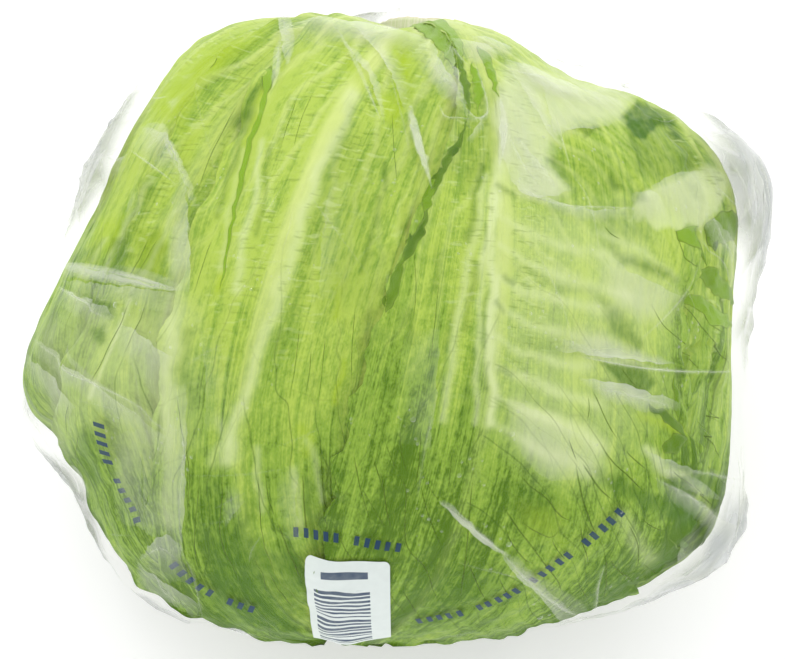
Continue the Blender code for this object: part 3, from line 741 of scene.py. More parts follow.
leaf_finish, wire = new_material("lettuce_leaf")
along_mm, across_mm, number = wire.stored("blade")
room, side, share = wire.stored("lie")
seed, rim, tone = wire.stored("tone")
flow, rib_strength, _ = wire.stored("rib")
fraction = number.math("FRACT")
beside = fraction.math("MINIMUM", 1 - fraction) * room
away = abs(across_mm)
fork = away.step(FORK_START, FORK_END)
branch = abs(fraction - 0.5 * fork) * room
streak = wire.noise(flow * 5.0, share * 1.8, seed, detail=3.0)
fine_streak = wire.noise(flow * 30.0, share * 5.0, seed + 9.0, detail=2.0)
thread = wire.noise(flow * 90.0, share * 7.0, seed + 12.0, detail=1.0)
blotch = wire.noise(along_mm * 0.045, across_mm * 0.06, seed + 3.0, detail=2.0)
mottle = wire.noise(along_mm * 0.35, across_mm * 0.6, seed + 15.0, detail=3.0)
uneven = (blotch - 0.5) * 0.8 + (streak - 0.5) * 1.5 + (fine_streak - 0.5) * 1.1
speck = wire.noise(along_mm * 1.1, across_mm * 1.7, seed + 18.0, detail=1.0)
uneven = uneven + (thread - 0.5) * 0.9 + (mottle - 0.5) * 1.1 + (speck - 0.5) * 0.7
depth = share.step(0.46, 0.80) * 0.62 + (1 - rim.step(1.0, 13.0)) * 0.22 + tone + uneven
green = depth.step(0.40, 1.0).mix(depth.step(-0.25, 0.50).mix(LIGHT_GREEN, MID_GREEN), DEEP_GREEN)
midrib = 1 - (away / (5.5 - 4.0 * share)).step(0.2, 1.0)
lateral = 1 - (beside / (2.2 - 1.6 * share)).step(0.1, 1.0)
twig = (1 - (branch / (1.5 - 1.0 * share)).step(0.1, 1.0)) * fork
juicy = (1 - share.step(0.15, 0.72)) * (1 - away.step(8, 50) * 0.6)
pale = midrib * rib_strength * (1 - share.step(0.45, 0.72) * 0.85)
pale = pale.math("MAXIMUM", lateral * juicy * 0.6)
pale = pale.math("MAXIMUM", twig * juicy * 0.5)
green = (pale * (0.55 + streak * 0.7)).mix(green, RIB_GREEN)
green = ((1 - share.step(0.04, 0.24)) * 0.7).mix(green, PALE_BASE)
# Pale marks paint paler leaf and the film's sheen as a painted highlight; dark marks paint wetter leaf
# and painted shade by edges, creases and curled margins.
pale_mark, dark_mark, yellow_mark = wire.stored("marks")
streaky = 0.45 + streak * 0.6 + fine_streak * 0.5
green = (yellow_mark * streaky).full().mix(green, YELLOW_GREEN)
green = (pale_mark * streaky).full().mix(green, PALE_GREEN)
green = (dark_mark * (0.6 + mottle * 0.8)).full().mix(green, SHADE_AND_WET_GREEN)
tick = wire.noise(along_mm * 1.1, across_mm * 0.22, seed + 27.0, detail=2.0).step(0.55, 0.68)
tick = tick * away.step(1.5, 3.0) * (1 - away.step(9.0, 15.0)) * (1 - share.step(0.5, 0.7))
green = (tick * 0.30).mix(green, DEEP_GREEN)
light_tick = wire.noise(along_mm * 0.8, across_mm * 0.2, seed + 33.0, detail=2.0).step(0.56, 0.70)
light_tick = light_tick * away.step(2.5, 5.0) * (1 - away.step(12.0, 20.0))
light_tick = light_tick * (1 - share.step(0.5, 0.7))
green = (light_tick * 0.30).mix(green, PALE_GREEN)
thin = share.step(0.40, 0.72)
drawn = wire.noise(along_mm * 0.03, number * 0.9, seed + 31.0).step(0.34, 0.58)
fine_vein = (1 - beside.step(0.05, 0.34)) * thin * drawn
fine_vein = fine_vein.math("MAXIMUM", (1 - branch.step(0.04, 0.28)) * thin * fork * 0.8 * drawn)
net = wire.cells(wire.triple(number * 0.9 + seed, along_mm * 0.055), "2D")
net_line = (1 - net.step(0.004, 0.022)) * thin * 0.35
green = (fine_vein.math("MAXIMUM", net_line) * 0.42).mix(green, VEIN_GREEN)
height = fine_streak * 1.0 + thread * 0.4 + mottle * 0.9 - fine_vein * 0.35
shader = wire.node("BsdfPrincipled", sockets={
    "Base Color": green, "Roughness": 0.40 + blotch * 0.2, "Normal": wire.bump(0.6, 0.4 * MM, height),
    "Specular IOR Level": 0.15, "Coat Weight": 0.05, "Coat Roughness": 0.15,
})
end_material(wire, shader)


def near_box(x, y, corners, margin):
    """Which places lie within a margin of the box round some corners."""
    low, high = np.min(corners, axis=0) - margin, np.max(corners, axis=0) + margin
    return np.flatnonzero((x > low[0]) & (x < high[0]) & (y > low[1]) & (y < high[1]))


def marks_at(points):
    """The pale, dark and yellow markings at each of a leaf's points, from 0 to 1."""
    facing = np.clip((points - CENTRE) @ FACE_OUT / MARKED_DEPTH, 0, 1).ravel()
    x, y = (places.ravel() for places in picture_place(points))
    x = x + 2.0 * ripple(71, 45, x, y) + 0.5 * ripple(72, 13, x, y)
    y = y + 2.0 * ripple(73, 45, x, y) + 0.5 * ripple(74, 13, x, y)
    x = np.where(facing > 0, x, -PICTURE_WIDTH)
    marks = np.zeros((x.size, 3))
    for kind, corners, softness, strength in LEAF_PATCHES:
        at = near_box(x, y, corners, softness)
        amount = np.clip(0.5 + inside_by(x[at], y[at], corners) / (2 * softness), 0, 1)
        marks[at, MARK_KINDS[kind]] += strength * amount * facing[at]
    for kind, route, half_widths, strength in LEAF_STROKES:
        at = near_box(x, y, route, 2 * max(half_widths))
        nearest = np.full(at.size, np.inf)
        for number, (start, end) in enumerate(zip(route, route[1:])):
            away, along = from_side(x[at], y[at], start, end)
            share = (number + along) / (len(route) - 1)
            half = half_widths[0] + share * (half_widths[1] - half_widths[0])
            nearest = np.minimum(nearest, away / half)
        marks[at, MARK_KINDS[kind]] += strength * np.exp(-STROKE_FALL * nearest**2) * facing[at]
    return np.clip(marks, 0, 1).reshape(points.shape)


def make_leaf(leaf):
    """A blade as one grid of its outer face, whose rim turns in to show the blade's thickness."""
    depth = (TOP_LEVEL - leaf["level"]) * LEVEL_STEP
    base = math.asin(STEM_RADIUS / (leafy_radius(STEM) - depth))
    rows, columns = leaf["grid"]
    sides = np.concatenate(([-HEM_SHARE, -1], np.linspace(-1, 1, columns), [1, HEM_SHARE]))
    side_hem = np.concatenate((HEM_DEPTHS, np.zeros(columns), HEM_DEPTHS))
    shares = np.concatenate((np.linspace(0, LAST_SHARE, rows), [LAST_SHARE, HEM_SHARE]))
    share_hem = np.concatenate((np.zeros(rows), HEM_DEPTHS))
    share, side = np.meshgrid(shares, sides, indexing="ij")
    hem = np.maximum(*np.meshgrid(share_hem, side_hem, indexing="ij"))
    along = base + share * (math.radians(leaf["tip"]) - base)
    across = half_width(leaf, along, side < 0) * side
    direction = leaf_direction(leaf, along, across)
    radius = leaf_outer_radius(leaf, direction, along, across) - hem * LEAF_THICKNESS
    points = CENTRE + radius[..., None] * direction
    points[..., 2] = np.maximum(points[..., 2], floor_of(leaf["level"]) + hem * LEAF_THICKNESS)
    side, share, along_mm, across_mm, number, room = leaf_places(leaf, along, across)
    rim_mm = LEAF_REACH_MM * half_width(leaf, along, side < 0) * (1 - np.abs(side))
    flow = across_mm / (10 + np.where(side < 0, *(
        smooth_through(leaf[hand], np.degrees(along)) for hand in ("left", "right")
    )))
    stored = {
        "blade": np.stack((along_mm, across_mm, number), axis=-1),
        "lie": np.stack((room, side, share), axis=-1),
        "tone": np.stack((3.7 * leaf["seed"] + 0 * share, rim_mm, leaf["tone"] + 0 * share), axis=-1),
        "rib": np.stack((flow, leaf["rib"] + 0 * share, 0 * share), axis=-1),
        "marks": marks_at(points),
    }
    faces = grid_faces(*share.shape)[:, ::-1]
    piece = add_piece(leaf["name"] + "_blade", points, faces, leaf_finish, stored)
    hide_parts(leaf["name"])


for leaf in LEAVES:
    make_leaf(leaf)


def leaves_radius(direction):
    """How far the outermost leaf lies from the head's centre, each way."""
    radius = leafy_radius(direction) - (TOP_LEVEL + 1) * LEVEL_STEP
    for leaf in LEAVES:
        along, across = leaf_angles(leaf, direction)
        on_blade = (along > 0) & (along < math.radians(leaf["tip"]))
        along = np.clip(along, 0.01, math.radians(leaf["tip"]))
        on_blade &= np.abs(across) < half_width(leaf, along, across < 0)
        outer = leaf_outer_radius(leaf, direction, along, across)
        radius = np.where(on_blade, np.maximum(radius, outer), radius)
    return radius


# The wrapper leaves' larger veins stand out of them as thin darker cords, and where a margin is
# curled over or torn, a sliver of dark leaf lies on the next one; its dark green is partly wet leaf
# and partly painted shade in the gap under the margin. A vein has a route through pixels of the
# picture and a half width in millimetres, a sliver its two sides and its darkness.
VEINS = (
    (((200, 470), (198, 500), (195, 530), (196, 555), (203, 582)), 0.2),
    (((224, 455), (222, 500), (220, 530), (225, 552), (236, 573), (247, 592)), 0.26),
    (((252, 548), (257, 564), (263, 574), (266, 590), (264, 606)), 0.18),
    (((258, 455), (259, 490), (261, 525), (265, 548), (273, 568), (281, 590)), 0.2),
    (((266, 478), (269, 500), (277, 522)), 0.18),
    (((276, 518), (283, 536), (289, 552), (297, 570), (304, 588)), 0.38),
    (((303, 465), (304, 500), (306, 525), (308, 548)), 0.36),
    (((321, 448), (322, 472), (324, 500), (327, 525), (329, 550)), 0.24),
    (((332, 468), (338, 488), (346, 508)), 0.16),
    (((352, 448), (357, 472), (363, 497), (370, 522), (375, 545)), 0.26),
    (((370, 450), (377, 470), (383, 490), (386, 506), (389, 522), (394, 537)), 0.26),
    (((384, 438), (392, 460), (399, 474)), 0.16),
    (((360, 484), (371, 504), (382, 522), (390, 541)), 0.18),
    (((330, 518), (338, 532), (347, 552), (356, 562)), 0.2),
    (((268, 566), (275, 583), (287, 600), (300, 612)), 0.24),
    (((379, 468), (384, 488), (387, 512), (393, 532)), 0.24),
    (((390, 452), (399, 474), (406, 490), (405, 515), (406, 542), (414, 556), (424, 566), (430, 579),
     (434, 592), (445, 607), (456, 606)), 0.27),
    (((400, 428), (402, 455), (409, 477)), 0.17),
    (((421, 424), (420, 450), (417, 478), (412, 489)), 0.2),
    (((419, 476), (424, 500), (431, 522), (439, 541), (447, 553)), 0.25),
    (((425, 480), (433, 493), (441, 504)), 0.16),
    (((402, 588), (410, 602), (422, 618)), 0.26),
    (((382, 577), (391, 595), (401, 608), (412, 619)), 0.22),
    (((475, 468), (471, 495), (469, 520), (467, 545), (464, 570), (461, 592), (462, 616)), 0.36),
    (((466, 558), (473, 574), (480, 590), (489, 605)), 0.28),
    (((497, 496), (508, 514), (519, 530), (533, 548), (546, 566), (557, 580), (562, 592), (569, 606)),
     0.34),
    (((515, 468), (528, 484), (546, 498), (556, 511), (566, 519), (584, 521)), 0.33),
    (((518, 519), (530, 528), (541, 534), (551, 537), (558, 531), (561, 514)), 0.22),
    (((551, 537), (556, 548), (563, 557), (568, 562)), 0.2),
    (((503, 518), (509, 538), (518, 552), (529, 562), (541, 563)), 0.24),
    (((574, 458), (578, 478), (582, 497), (587, 513), (593, 528), (602, 542)), 0.36),
    (((581, 461), (588, 472), (596, 484), (605, 494), (620, 506)), 0.36),
    (((568, 438), (573, 452), (577, 462)), 0.2),
    (((498, 576), (505, 590), (513, 602)), 0.2),
    (((452, 453), (450, 475), (448, 492)), 0.2),
    (((588, 395), (589, 410), (587, 423)), 0.2),
    (((591, 388), (598, 402), (605, 418), (612, 431), (621, 444)), 0.25),
    (((600, 443), (612, 461), (626, 474), (638, 486), (646, 495)), 0.26),
    (((625, 450), (636, 461), (648, 471)), 0.22),
    (((604, 551), (606, 570), (605, 590), (600, 600)), 0.34),
    (((607, 553), (614, 566), (623, 574), (631, 580), (638, 591)), 0.3),
    (((626, 521), (634, 535), (638, 548), (638, 562), (635, 574)), 0.24),
    (((640, 561), (650, 566), (666, 568)), 0.2),
    (((637, 514), (648, 524), (660, 530), (667, 531)), 0.2),
    (((672, 470), (681, 478), (692, 489)), 0.26),
    (((688, 472), (694, 486), (704, 498), (714, 508)), 0.3),
    (((690, 409), (700, 425), (709, 440), (717, 453), (723, 463)), 0.28),
    (((702, 401), (712, 414), (723, 424)), 0.22),
    (((706, 464), (715, 475), (727, 489)), 0.2),
    (((580, 521), (582, 540), (586, 553), (591, 572)), 0.24),
    (((576, 578), (582, 590), (589, 601)), 0.2),
    (((604, 226), (611, 234), (622, 240)), 0.22),
    (((620, 366), (630, 380), (640, 393)), 0.22),
    (((648, 300), (668, 330), (690, 360), (706, 380)), 0.2),
    (((690, 290), (704, 330), (718, 352), (730, 372)), 0.24),
    (((700, 310), (712, 326), (728, 336)), 0.2),
    (((676, 232), (682, 250), (690, 262), (698, 278)), 0.3),
    (((697, 240), (701, 252), (707, 268)), 0.34),
    (((176, 388), (184, 440), (188, 480)), 0.16),
    (((112, 240), (104, 262), (94, 290)), 0.16),
    (((150, 238), (138, 262), (124, 286)), 0.18),
    (((160, 236), (146, 260), (134, 280)), 0.15),
    (((90, 262), (76, 300), (62, 340)), 0.15),
    (((134, 292), (118, 330), (98, 370), (80, 400)), 0.18),
    (((148, 296), (134, 332), (120, 362)), 0.15),
    (((214, 236), (204, 262), (192, 300)), 0.15),
    (((300, 92), (288, 124), (278, 156)), 0.16),
    (((316, 88), (300, 124), (292, 156)), 0.15),
    (((250, 32), (216, 62), (190, 96)), 0.15),
    (((240, 100), (224, 130), (206, 168), (196, 200)), 0.16),
    (((392, 110), (394, 150), (398, 190)), 0.15),
    (((300, 320), (296, 360), (290, 400)), 0.13),
    (((312, 346), (309, 376), (304, 400)), 0.15),
    (((326, 330), (322, 372), (316, 420)), 0.13),
    (((356, 300), (352, 350), (350, 400)), 0.14),
    (((440, 270), (434, 330), (428, 380)), 0.14),
    (((414, 250), (416, 290), (412, 330)), 0.14),
    (((80, 430), (76, 452), (80, 474)), 0.2),
    (((70, 400), (66, 420), (68, 440)), 0.18),
    (((170, 460), (158, 484), (148, 508)), 0.15),
    (((186, 440), (190, 480), (186, 520)), 0.16),
)
SLIVERS = (
    (((441, 167), (446, 153), (450, 147), (455, 143), (460, 134), (468, 118)), ((441, 167), (450, 161),
     (454, 152), (462, 148), (463, 136), (468, 118)), 0.75),
    (((429, 197), (432, 184), (434, 176), (440, 167), (443, 158), (451, 149)), ((429, 197), (437, 191),
     (440, 181), (443, 175), (451, 163), (451, 149)), 0.7),
    (((424, 215), (421, 203), (425, 193), (428, 186), (436, 177)), ((424, 215), (430, 208), (431, 197),
     (435, 190), (436, 177)), 0.4),
    (((398, 264), (404, 250), (404, 242), (412, 234), (417, 226), (430, 205)), ((398, 264), (409, 257),
     (415, 249), (419, 240), (425, 231), (430, 205)), 0.75),
    (((386, 314), (383, 299), (389, 287), (391, 272), (398, 263), (405, 249)), ((386, 314), (395, 303),
     (397, 291), (401, 279), (404, 266), (405, 249)), 0.6),
    (((404, 20), (420, 32), (434, 44), (446, 58), (456, 72)), ((420, 13), (438, 20), (454, 31),
     (463, 44), (462, 66)), 0.0),
    (((404, 246), (408, 238), (410, 232)), ((404, 246), (414, 240), (410, 232)), 0.95),
    (((450, 158), (452, 150), (457, 146)), ((450, 158), (459, 152), (457, 146)), 0.95),
    (((451, 44), (456, 62), (461, 84), (470, 116)), ((451, 44), (462, 64), (469, 86), (470, 116)), 0.6),
    (((470, 60), (478, 72), (484, 92), (476, 116)), ((470, 60), (472, 78), (474, 96), (476, 116)), 0.1),
    (((476, 44), (490, 56), (496, 74), (499, 98)), ((476, 52), (484, 66), (490, 82), (499, 98)), 0.15),
    (((676, 229), (690, 231), (697, 242), (707, 266)), ((676, 229), (684, 244), (696, 258), (707, 266)),
     0.35),
    (((704, 228), (718, 216), (734, 212), (742, 222)), ((704, 228), (709, 247), (724, 243), (742, 222)),
     0.5),
    (((706, 238), (712, 232), (722, 240)), ((706, 238), (714, 250), (722, 240)), 0.95),
    (((696, 272), (712, 267), (726, 282), (740, 306)), ((696, 272), (706, 286), (720, 298), (740, 306)),
     0.4),
    (((684, 290), (700, 296), (720, 310), (742, 326)), ((684, 290), (698, 310), (716, 326), (742, 326)),
     0.25),
    (((646, 404), (662, 410), (680, 424), (687, 437)), ((646, 404), (660, 418), (672, 428), (687, 437)),
     0.75),
    (((662, 446), (670, 437), (680, 433), (687, 436)), ((662, 446), (668, 455), (679, 451), (687, 436)),
     0.8),
    (((704, 549), (714, 545), (723, 549)), ((704, 549), (714, 553), (723, 549)), 1.0),
    (((674, 374), (673, 392), (674, 408), (677, 419)), ((674, 374), (680, 392), (680, 406), (677, 419)),
     0.5),
    (((664, 538), (671, 548), (682, 560)), ((664, 538), (678, 545), (682, 560)), 0.6),
    (((275, 74), (261, 104), (249, 134), (241, 170), (234, 205), (226, 250), (219, 292)), ((278, 74),
     (266, 104), (255, 134), (246, 170), (238, 205), (229, 250), (219, 292)), 0.05),
)
VEIN_ACROSS = np.array((-1, -0.5, 0, 0.5, 1))
VEIN_WIDTH = 0.8
VEIN_LIFT = 0.07 * MM
VEIN_DARKNESS = 0.55
VEIN_STRENGTH = 0.60
SLIVER_RIM = 0.3
SLIVER_LIFT = 0.08 * MM
SLIVER_CROWN = 0.30 * MM
SLIVER_WRINKLE = 0.12 * MM
SLIVER_WANDER = 0.005
RULED_ROWS, RULED_COLUMNS = 26, 11
FLOOR_CLEARANCE = 0.05 * MM
SLIVER_GREEN = (0.22, 0.40, 0.010, 1)
SLIVER_DARK = (0.032, 0.105, 0.002, 1)
SPECKLE_GREEN = (0.26, 0.42, 0.02, 1)
RIM_GREEN = (0.40, 0.56, 0.10, 1)


def fold_route(marks, count):
    """A smooth route of unit vectors through a few marks."""
    places = np.linspace(0, 1, len(marks))
    at = np.linspace(0, 1, count)
    if len(marks) == 2:
        route = marks[0] + at[:, None] * (marks[1] - marks[0])
    else:
        route = np.stack([smooth_through(list(zip(places, m)), at) for m in marks.T], axis=-1)
    return unit(route)


def strip(route, half_angles, across):
    """Directions on a strip along a route, at some shares of its half width to each side."""
    aside = (half_angles[:, None] * across)[..., None] * beside_route(route)[:, None]
    return unit(route[:, None] + aside)


def ruled(first_side, second_side, rows, columns, wander):
    """Directions on a patch that is ruled from one route to the other, with wandering edges."""
    first, second = fold_route(first_side, rows), fold_route(second_side, rows)
    share = np.linspace(0, 1, columns)[None, :, None]
    direction = first[:, None] * (1 - share) + second[:, None] * share
    shifts = [ripple(seed, 0.05, *np.moveaxis(direction, -1, 0)) for seed in (61, 62, 63)]
    return unit(direction + wander * np.stack(shifts, axis=-1))


def add_grids(name, grids, material, stored_name):
    """One piece of many separate grids of points, each with three numbers stored at its points."""
    points, values, faces, count = [], [], [], 0
    for grid, numbers in grids:
        faces.append(grid_faces(*grid.shape[:2]) + count)
        count += grid.shape[0] * grid.shape[1]
        points.append(grid.reshape(-1, 3))
        values.append(numbers.reshape(-1, 3))
    points = np.concatenate(points)
    points[:, 2] = np.maximum(points[:, 2], FLOOR_CLEARANCE)
    stored = {stored_name: np.concatenate(values)}
    return add_piece(name, points, np.concatenate(faces), material, stored)


vein_finish, wire = new_material("leaf_vein")
darkness, edge, rim = wire.stored("vein")
speckle = wire.cloud(260.0, 4.0)
patchy = wire.cloud(60.0, 4.0)
# Dark slivers are partly wet leaf and partly painted shade under curled margins.
tint = (darkness + (patchy - 0.5) * 0.9).step(0.0, 1.0)
green = (speckle * 0.35).mix(tint.mix(SLIVER_GREEN, SLIVER_DARK), SPECKLE_GREEN)
green = (rim * (0.2 + patchy * 1.2)).full().mix(green, RIM_GREEN)
bump = wire.bump(0.8, 0.3 * MM, speckle + patchy)
shader = wire.node("BsdfPrincipled", sockets={
    "Base Color": green, "Roughness": 0.3 + speckle * 0.2, "Normal": bump,
    "Specular IOR Level": 0.2, "Alpha": edge * (0.55 + patchy * 0.6),
})
end_material(wire, shader)

grids = []
routes = spots_of([marks for marks, half in VEINS], leaves_radius)
for marks, (_, half) in zip(routes, VEINS):
    route = fold_route(marks, 6 * len(marks))
    shares = np.linspace(0, 1, len(route))
    wide = VEIN_WIDTH * half * MM * np.clip(np.minimum(shares * 6, (1 - shares) * 3), 0.25, 1)
    direction = strip(route, wide / LEAF_REACH, VEIN_ACROSS)
    crest = 1 - np.abs(VEIN_ACROSS)
    radius = leaves_radius(direction) + VEIN_LIFT + 0.5 * wide[:, None] * crest
    fade = np.clip(np.minimum(shares * 5, (1 - shares) * 4), 0, 1)[:, None] * np.clip(crest * 2, 0, 1)
    numbers = np.stack((VEIN_DARKNESS + 0 * fade, fade * VEIN_STRENGTH, 0 * fade), axis=-1)
    grids.append((CENTRE + radius[..., None] * direction, numbers))
sides = spots_of([side for sliver in SLIVERS for side in sliver[:2]], leaves_radius)
for first, second, (_, _, darkness_at) in zip(sides[::2], sides[1::2], SLIVERS):
    direction = ruled(first, second, RULED_ROWS, RULED_COLUMNS, SLIVER_WANDER)
    along = np.sin(np.linspace(0, math.pi, RULED_ROWS))[:, None]
    across = np.sin(np.linspace(0, math.pi, RULED_COLUMNS))[None, :]
    wrinkle = SLIVER_WRINKLE * ripple(55, 0.02, *np.moveaxis(direction, -1, 0)) * along * across
    radius = leaves_radius(direction)
    share = np.linspace(0, 1, RULED_COLUMNS)
    bridged = radius[:, :1] * (1 - share) + radius[:, -1:] * share
    radius = np.maximum(radius, bridged) + SLIVER_LIFT
    radius = radius + SLIVER_CROWN * (along * across) ** 0.7 + wrinkle
    edge_at = np.clip(3 * along**0.4 * (across + 0.25), 0, 1.6) + 0 * radius
    rim_at = np.clip(1 - 2.2 * along * across, 0, 1) * SLIVER_RIM
    numbers = np.stack((darkness_at + 0 * radius, edge_at, rim_at), axis=-1)
    grids.append((CENTRE + radius[..., None] * direction, numbers))
veins = add_grids("leaf_veins", grids, vein_finish, "vein")

# The bag is one sheet of thin clear film. It lies on the leaves and bridges from one to the next,
# stands out in loose pouches round the sides, and is gathered behind the stem into a taped neck
# with a ruffled tail. It is milky where it stands away from the wet leaves.
NECK = unit(np.array((0.0, 0.88, -0.475)))
ABOVE_NECK = unit(np.array((0.0, 0.0, 1.0)) - NECK[2] * NECK)
BESIDE_NECK = np.cross(NECK, ABOVE_NECK)
NECK_PROFILE = ((27, 13.0), (20, 8.5), (14.5, 5.5), (6, 5.5), (3, 9.0), (0.3, 18.0))
NECK_OPENING_ANGLE = 22
FILM_COLUMNS = 400
NECK_ROWS = 36
BODY_ROWS = 186
HUG = 0.35 * MM
FACE_SINK = 9 * MM
TAUT_PASSES = 90
PLEATS = 9
PLEAT_DEPTH = 0.8 * MM
CRUMPLE_DEPTH = 2.4 * MM
BAG_INSET = 0.3 * MM
POUCH_REACH = 0.42
BENEATH_TURN, BENEATH_HALF = 272, 34
LOOSE_FROM = 3 * MM
NECK_GAP_MM = 4.0
NECK_CREASE = 0.4


def taut(radius, angles, passes):
    """A skin on a polar grid of radii, pulled smooth without dipping below them."""
    step = angles[1] - angles[0]
    turn_step = 2 * math.pi / radius.shape[1]
    round_weight = 1 / (np.sin(angles[1:-1, None]) * turn_step) ** 2
    down_weight = 1 / step**2
    skin = radius.copy()
    for _ in range(passes):
        beside = np.roll(skin, 1, axis=1) + np.roll(skin, -1, axis=1)
        around = round_weight * beside[1:-1] + down_weight * (skin[:-2] + skin[2:])
        skin[1:-1] = np.maximum(radius[1:-1], around / (2 * round_weight + 2 * down_weight))
    return skin


def softened(radius, passes):
    """A grid of radii with its steps widened outward by a cell or two and rounded."""
    for _ in range(2):
        beside = np.maximum(np.roll(radius, 1, axis=1), np.roll(radius, -1, axis=1))
        radius = np.maximum(radius, beside)
        radius[1:-1] = np.maximum(radius[1:-1], np.maximum(radius[:-2], radius[2:]))
    for _ in range(passes):
        radius = (np.roll(radius, 1, axis=1) + 2 * radius + np.roll(radius, -1, axis=1)) / 4
        radius[1:-1] = (radius[:-2] + 2 * radius[1:-1] + radius[2:]) / 4
    return radius


def crumple(seed, size, places):
    """Sharp little ridges that cross each other, from 0 to 1, as crumpled film has."""
    x, y, z = np.moveaxis(places / MM, -1, 0)
    ridges = [1 - np.abs(ripple(seed + i, size * part, x, y, z)) for i, part in enumerate((1, 0.55))]
    return np.clip(0.65 * ridges[0] ** 2 + 0.35 * ridges[1] ** 2, 0, 1)


turns = np.linspace(0, 2 * math.pi, FILM_COLUMNS, endpoint=False)
spokes = np.cos(turns)[:, None] * ABOVE_NECK + np.sin(turns)[:, None] * BESIDE_NECK
body_angles = np.radians(np.linspace(NECK_OPENING_ANGLE, 179.6, BODY_ROWS))
body_direction = np.cos(body_angles)[:, None, None] * NECK + np.sin(body_angles)[:, None, None] * spokes
at_leaves = softened(leaves_radius(body_direction) + HUG, 3)
height_out = face_angles(body_direction)[2]
pouch = np.clip(1 - (np.abs(height_out) / POUCH_REACH) ** 2, 0, 1) ** 0.7
round_face = face_angles(body_direction)[0]
room_round = outline_radius(FILM_OUTLINE, round_face) - outline_radius(LEAF_OUTLINE, round_face)
beneath = np.abs(np.degrees(round_face) % 360 - BENEATH_TURN) / BENEATH_HALF
beneath = np.clip(1 - beneath, 0, 1)
pouch = pouch * np.clip((room_round / MM - 0.5) / 3.0, 0.15, 1) * (1 - 0.9 * beneath)
free = bag_radius(body_direction) - FACE_SINK * (1 - pouch) - BAG_INSET
near_neck = np.exp(-(body_angles[:, None] - body_angles[0]) / 0.35)
at_neck = bag_radius(body_direction) - BAG_INSET
free = free + (at_neck - free) * near_neck
film_radii = taut(np.maximum(at_leaves, free), body_angles, TAUT_PASSES)
loose = np.clip((film_radii - at_leaves) / LOOSE_FROM, 0, 1)
crumples = crumple(61, 26, body_direction * FILM_REACH)
film_radii = film_radii - CRUMPLE_DEPTH * (1 - crumples) * loose
pleat = np.cos(PLEATS * turns + 0.8 * np.sin(3 * turns)) + 0.5 * np.cos(23 * turns + 1.0)
film_radii = film_radii + PLEAT_DEPTH * pleat * np.exp(-body_angles[:, None] / 0.5)
film_radii = np.maximum(film_radii, at_leaves)
film_radii[1:-1] = (film_radii[:-2] + 2 * film_radii[1:-1] + film_radii[2:]) / 4
stand_off = film_radii - at_leaves


def film_radius_at(direction):
    """The film's distance from the head's centre, read from its grid, each way."""
    angle = np.arccos(np.clip(direction @ NECK, -1, 1))
    turn = np.arctan2(direction @ BESIDE_NECK, direction @ ABOVE_NECK) % (2 * math.pi)
    row = (angle - body_angles[0]) / (body_angles[1] - body_angles[0])
    row = np.clip(row, 0, BODY_ROWS - 1.001)
    column = turn / (2 * math.pi) * FILM_COLUMNS
    r, c = row.astype(int), column.astype(int) % FILM_COLUMNS
    row_part, column_part = row - r, column - np.floor(column)
    after = (c + 1) % FILM_COLUMNS
    near = film_radii[r, c] * (1 - column_part) + film_radii[r, after] * column_part
    far = film_radii[r + 1, c] * (1 - column_part) + film_radii[r + 1, after] * column_part
    return near * (1 - row_part) + far * row_part


past, around = np.array(NECK_PROFILE[::-1], float).T
neck_top = float(bag_radius(NECK))
neck_past = np.linspace(NECK_PROFILE[0][0], NECK_PROFILE[-1][0], NECK_ROWS)
neck_around = smooth_through(list(zip(past, around)), neck_past)
ruffle = 0.10 + 0.16 * np.clip((neck_past - 14) / 12, 0, 1)
neck_around = neck_around[:, None] * (1 + ruffle[:, None] * pleat)
neck_points = CENTRE + MM * (neck_around[..., None] * spokes)
neck_points = neck_points + (neck_top + MM * neck_past)[:, None, None] * NECK
body_points = CENTRE + film_radii[..., None] * body_direction
film_points = np.concatenate((neck_points, body_points))
film_points[..., 2] = np.maximum(film_points[..., 2], 0)
gap_mm = np.concatenate((np.full(neck_around.shape, NECK_GAP_MM), stand_off / MM))

FILM_WHITE = (0.88, 0.92, 0.78, 1)
FILM_GREY = (0.46, 0.49, 0.48, 1)
FILM_PALE = (0.86, 0.88, 0.87, 1)
clear_film, wire = new_material("clear_film")
gap, crease, fold = wire.stored("film")
cloud = wire.cloud(34.0, 3.0)
uneven = 0.55 + cloud * 0.9
loose = (gap + (cloud - 0.5) * 2.0).step(2.4, 7.0)
veil = wire.cloud(11.0, 4.0)
fleck = wire.cloud(150.0, 1.0)
contact = veil.step(0.54, 0.70) * 0.045 + (fleck - 0.5) * 0.03
patchy = (0.15 + cloud * 1.3) * (0.75 + fleck * 0.5)
# The crease term whitens the film along its crumple ridges as a painted highlight.
haze = 0.004 + (loose * (0.50 + crease * 0.30) + contact) * uneven + fold * patchy
haze = haze.math("MAXIMUM", 0.004)
crinkle = (1 - abs(wire.cloud(60.0, 2.0) - 0.5) * 8).step(0.0, 1.0)
bump = wire.bump(0.4, 0.4 * MM, crinkle)
gloss = (wire.node("Fresnel", sockets={"IOR": 1.4}) * 1.1).math("MINIMUM", 0.007 + loose * 0.10)
seen = haze + gloss
# Loose film is painted grey as painted shade and dim reflection against the white floor, and paler on its
# crumple ridges as a painted highlight.
loose_shade_and_sheen = crease.mix(FILM_GREY, FILM_PALE)
shader = wire.node("BsdfPrincipled", sockets={
    "Base Color": gap.step(2.5, 5.5).mix(FILM_WHITE, loose_shade_and_sheen), "Roughness": 0.17, "Normal": bump,
    "Metallic": gloss / seen, "Alpha": seen.math("MINIMUM", 0.85),
})
end_material(wire, shader)

creases = np.concatenate((np.full(neck_around.shape, NECK_CREASE), crumples**3))
stored = {"film": np.stack((gap_mm, creases, 0 * gap_mm), axis=-1)}
faces = grid_faces(*gap_mm.shape, wrap=True)
film_sheet = add_piece("film_sheet", film_points, faces, clear_film, stored)
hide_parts("film_bag")
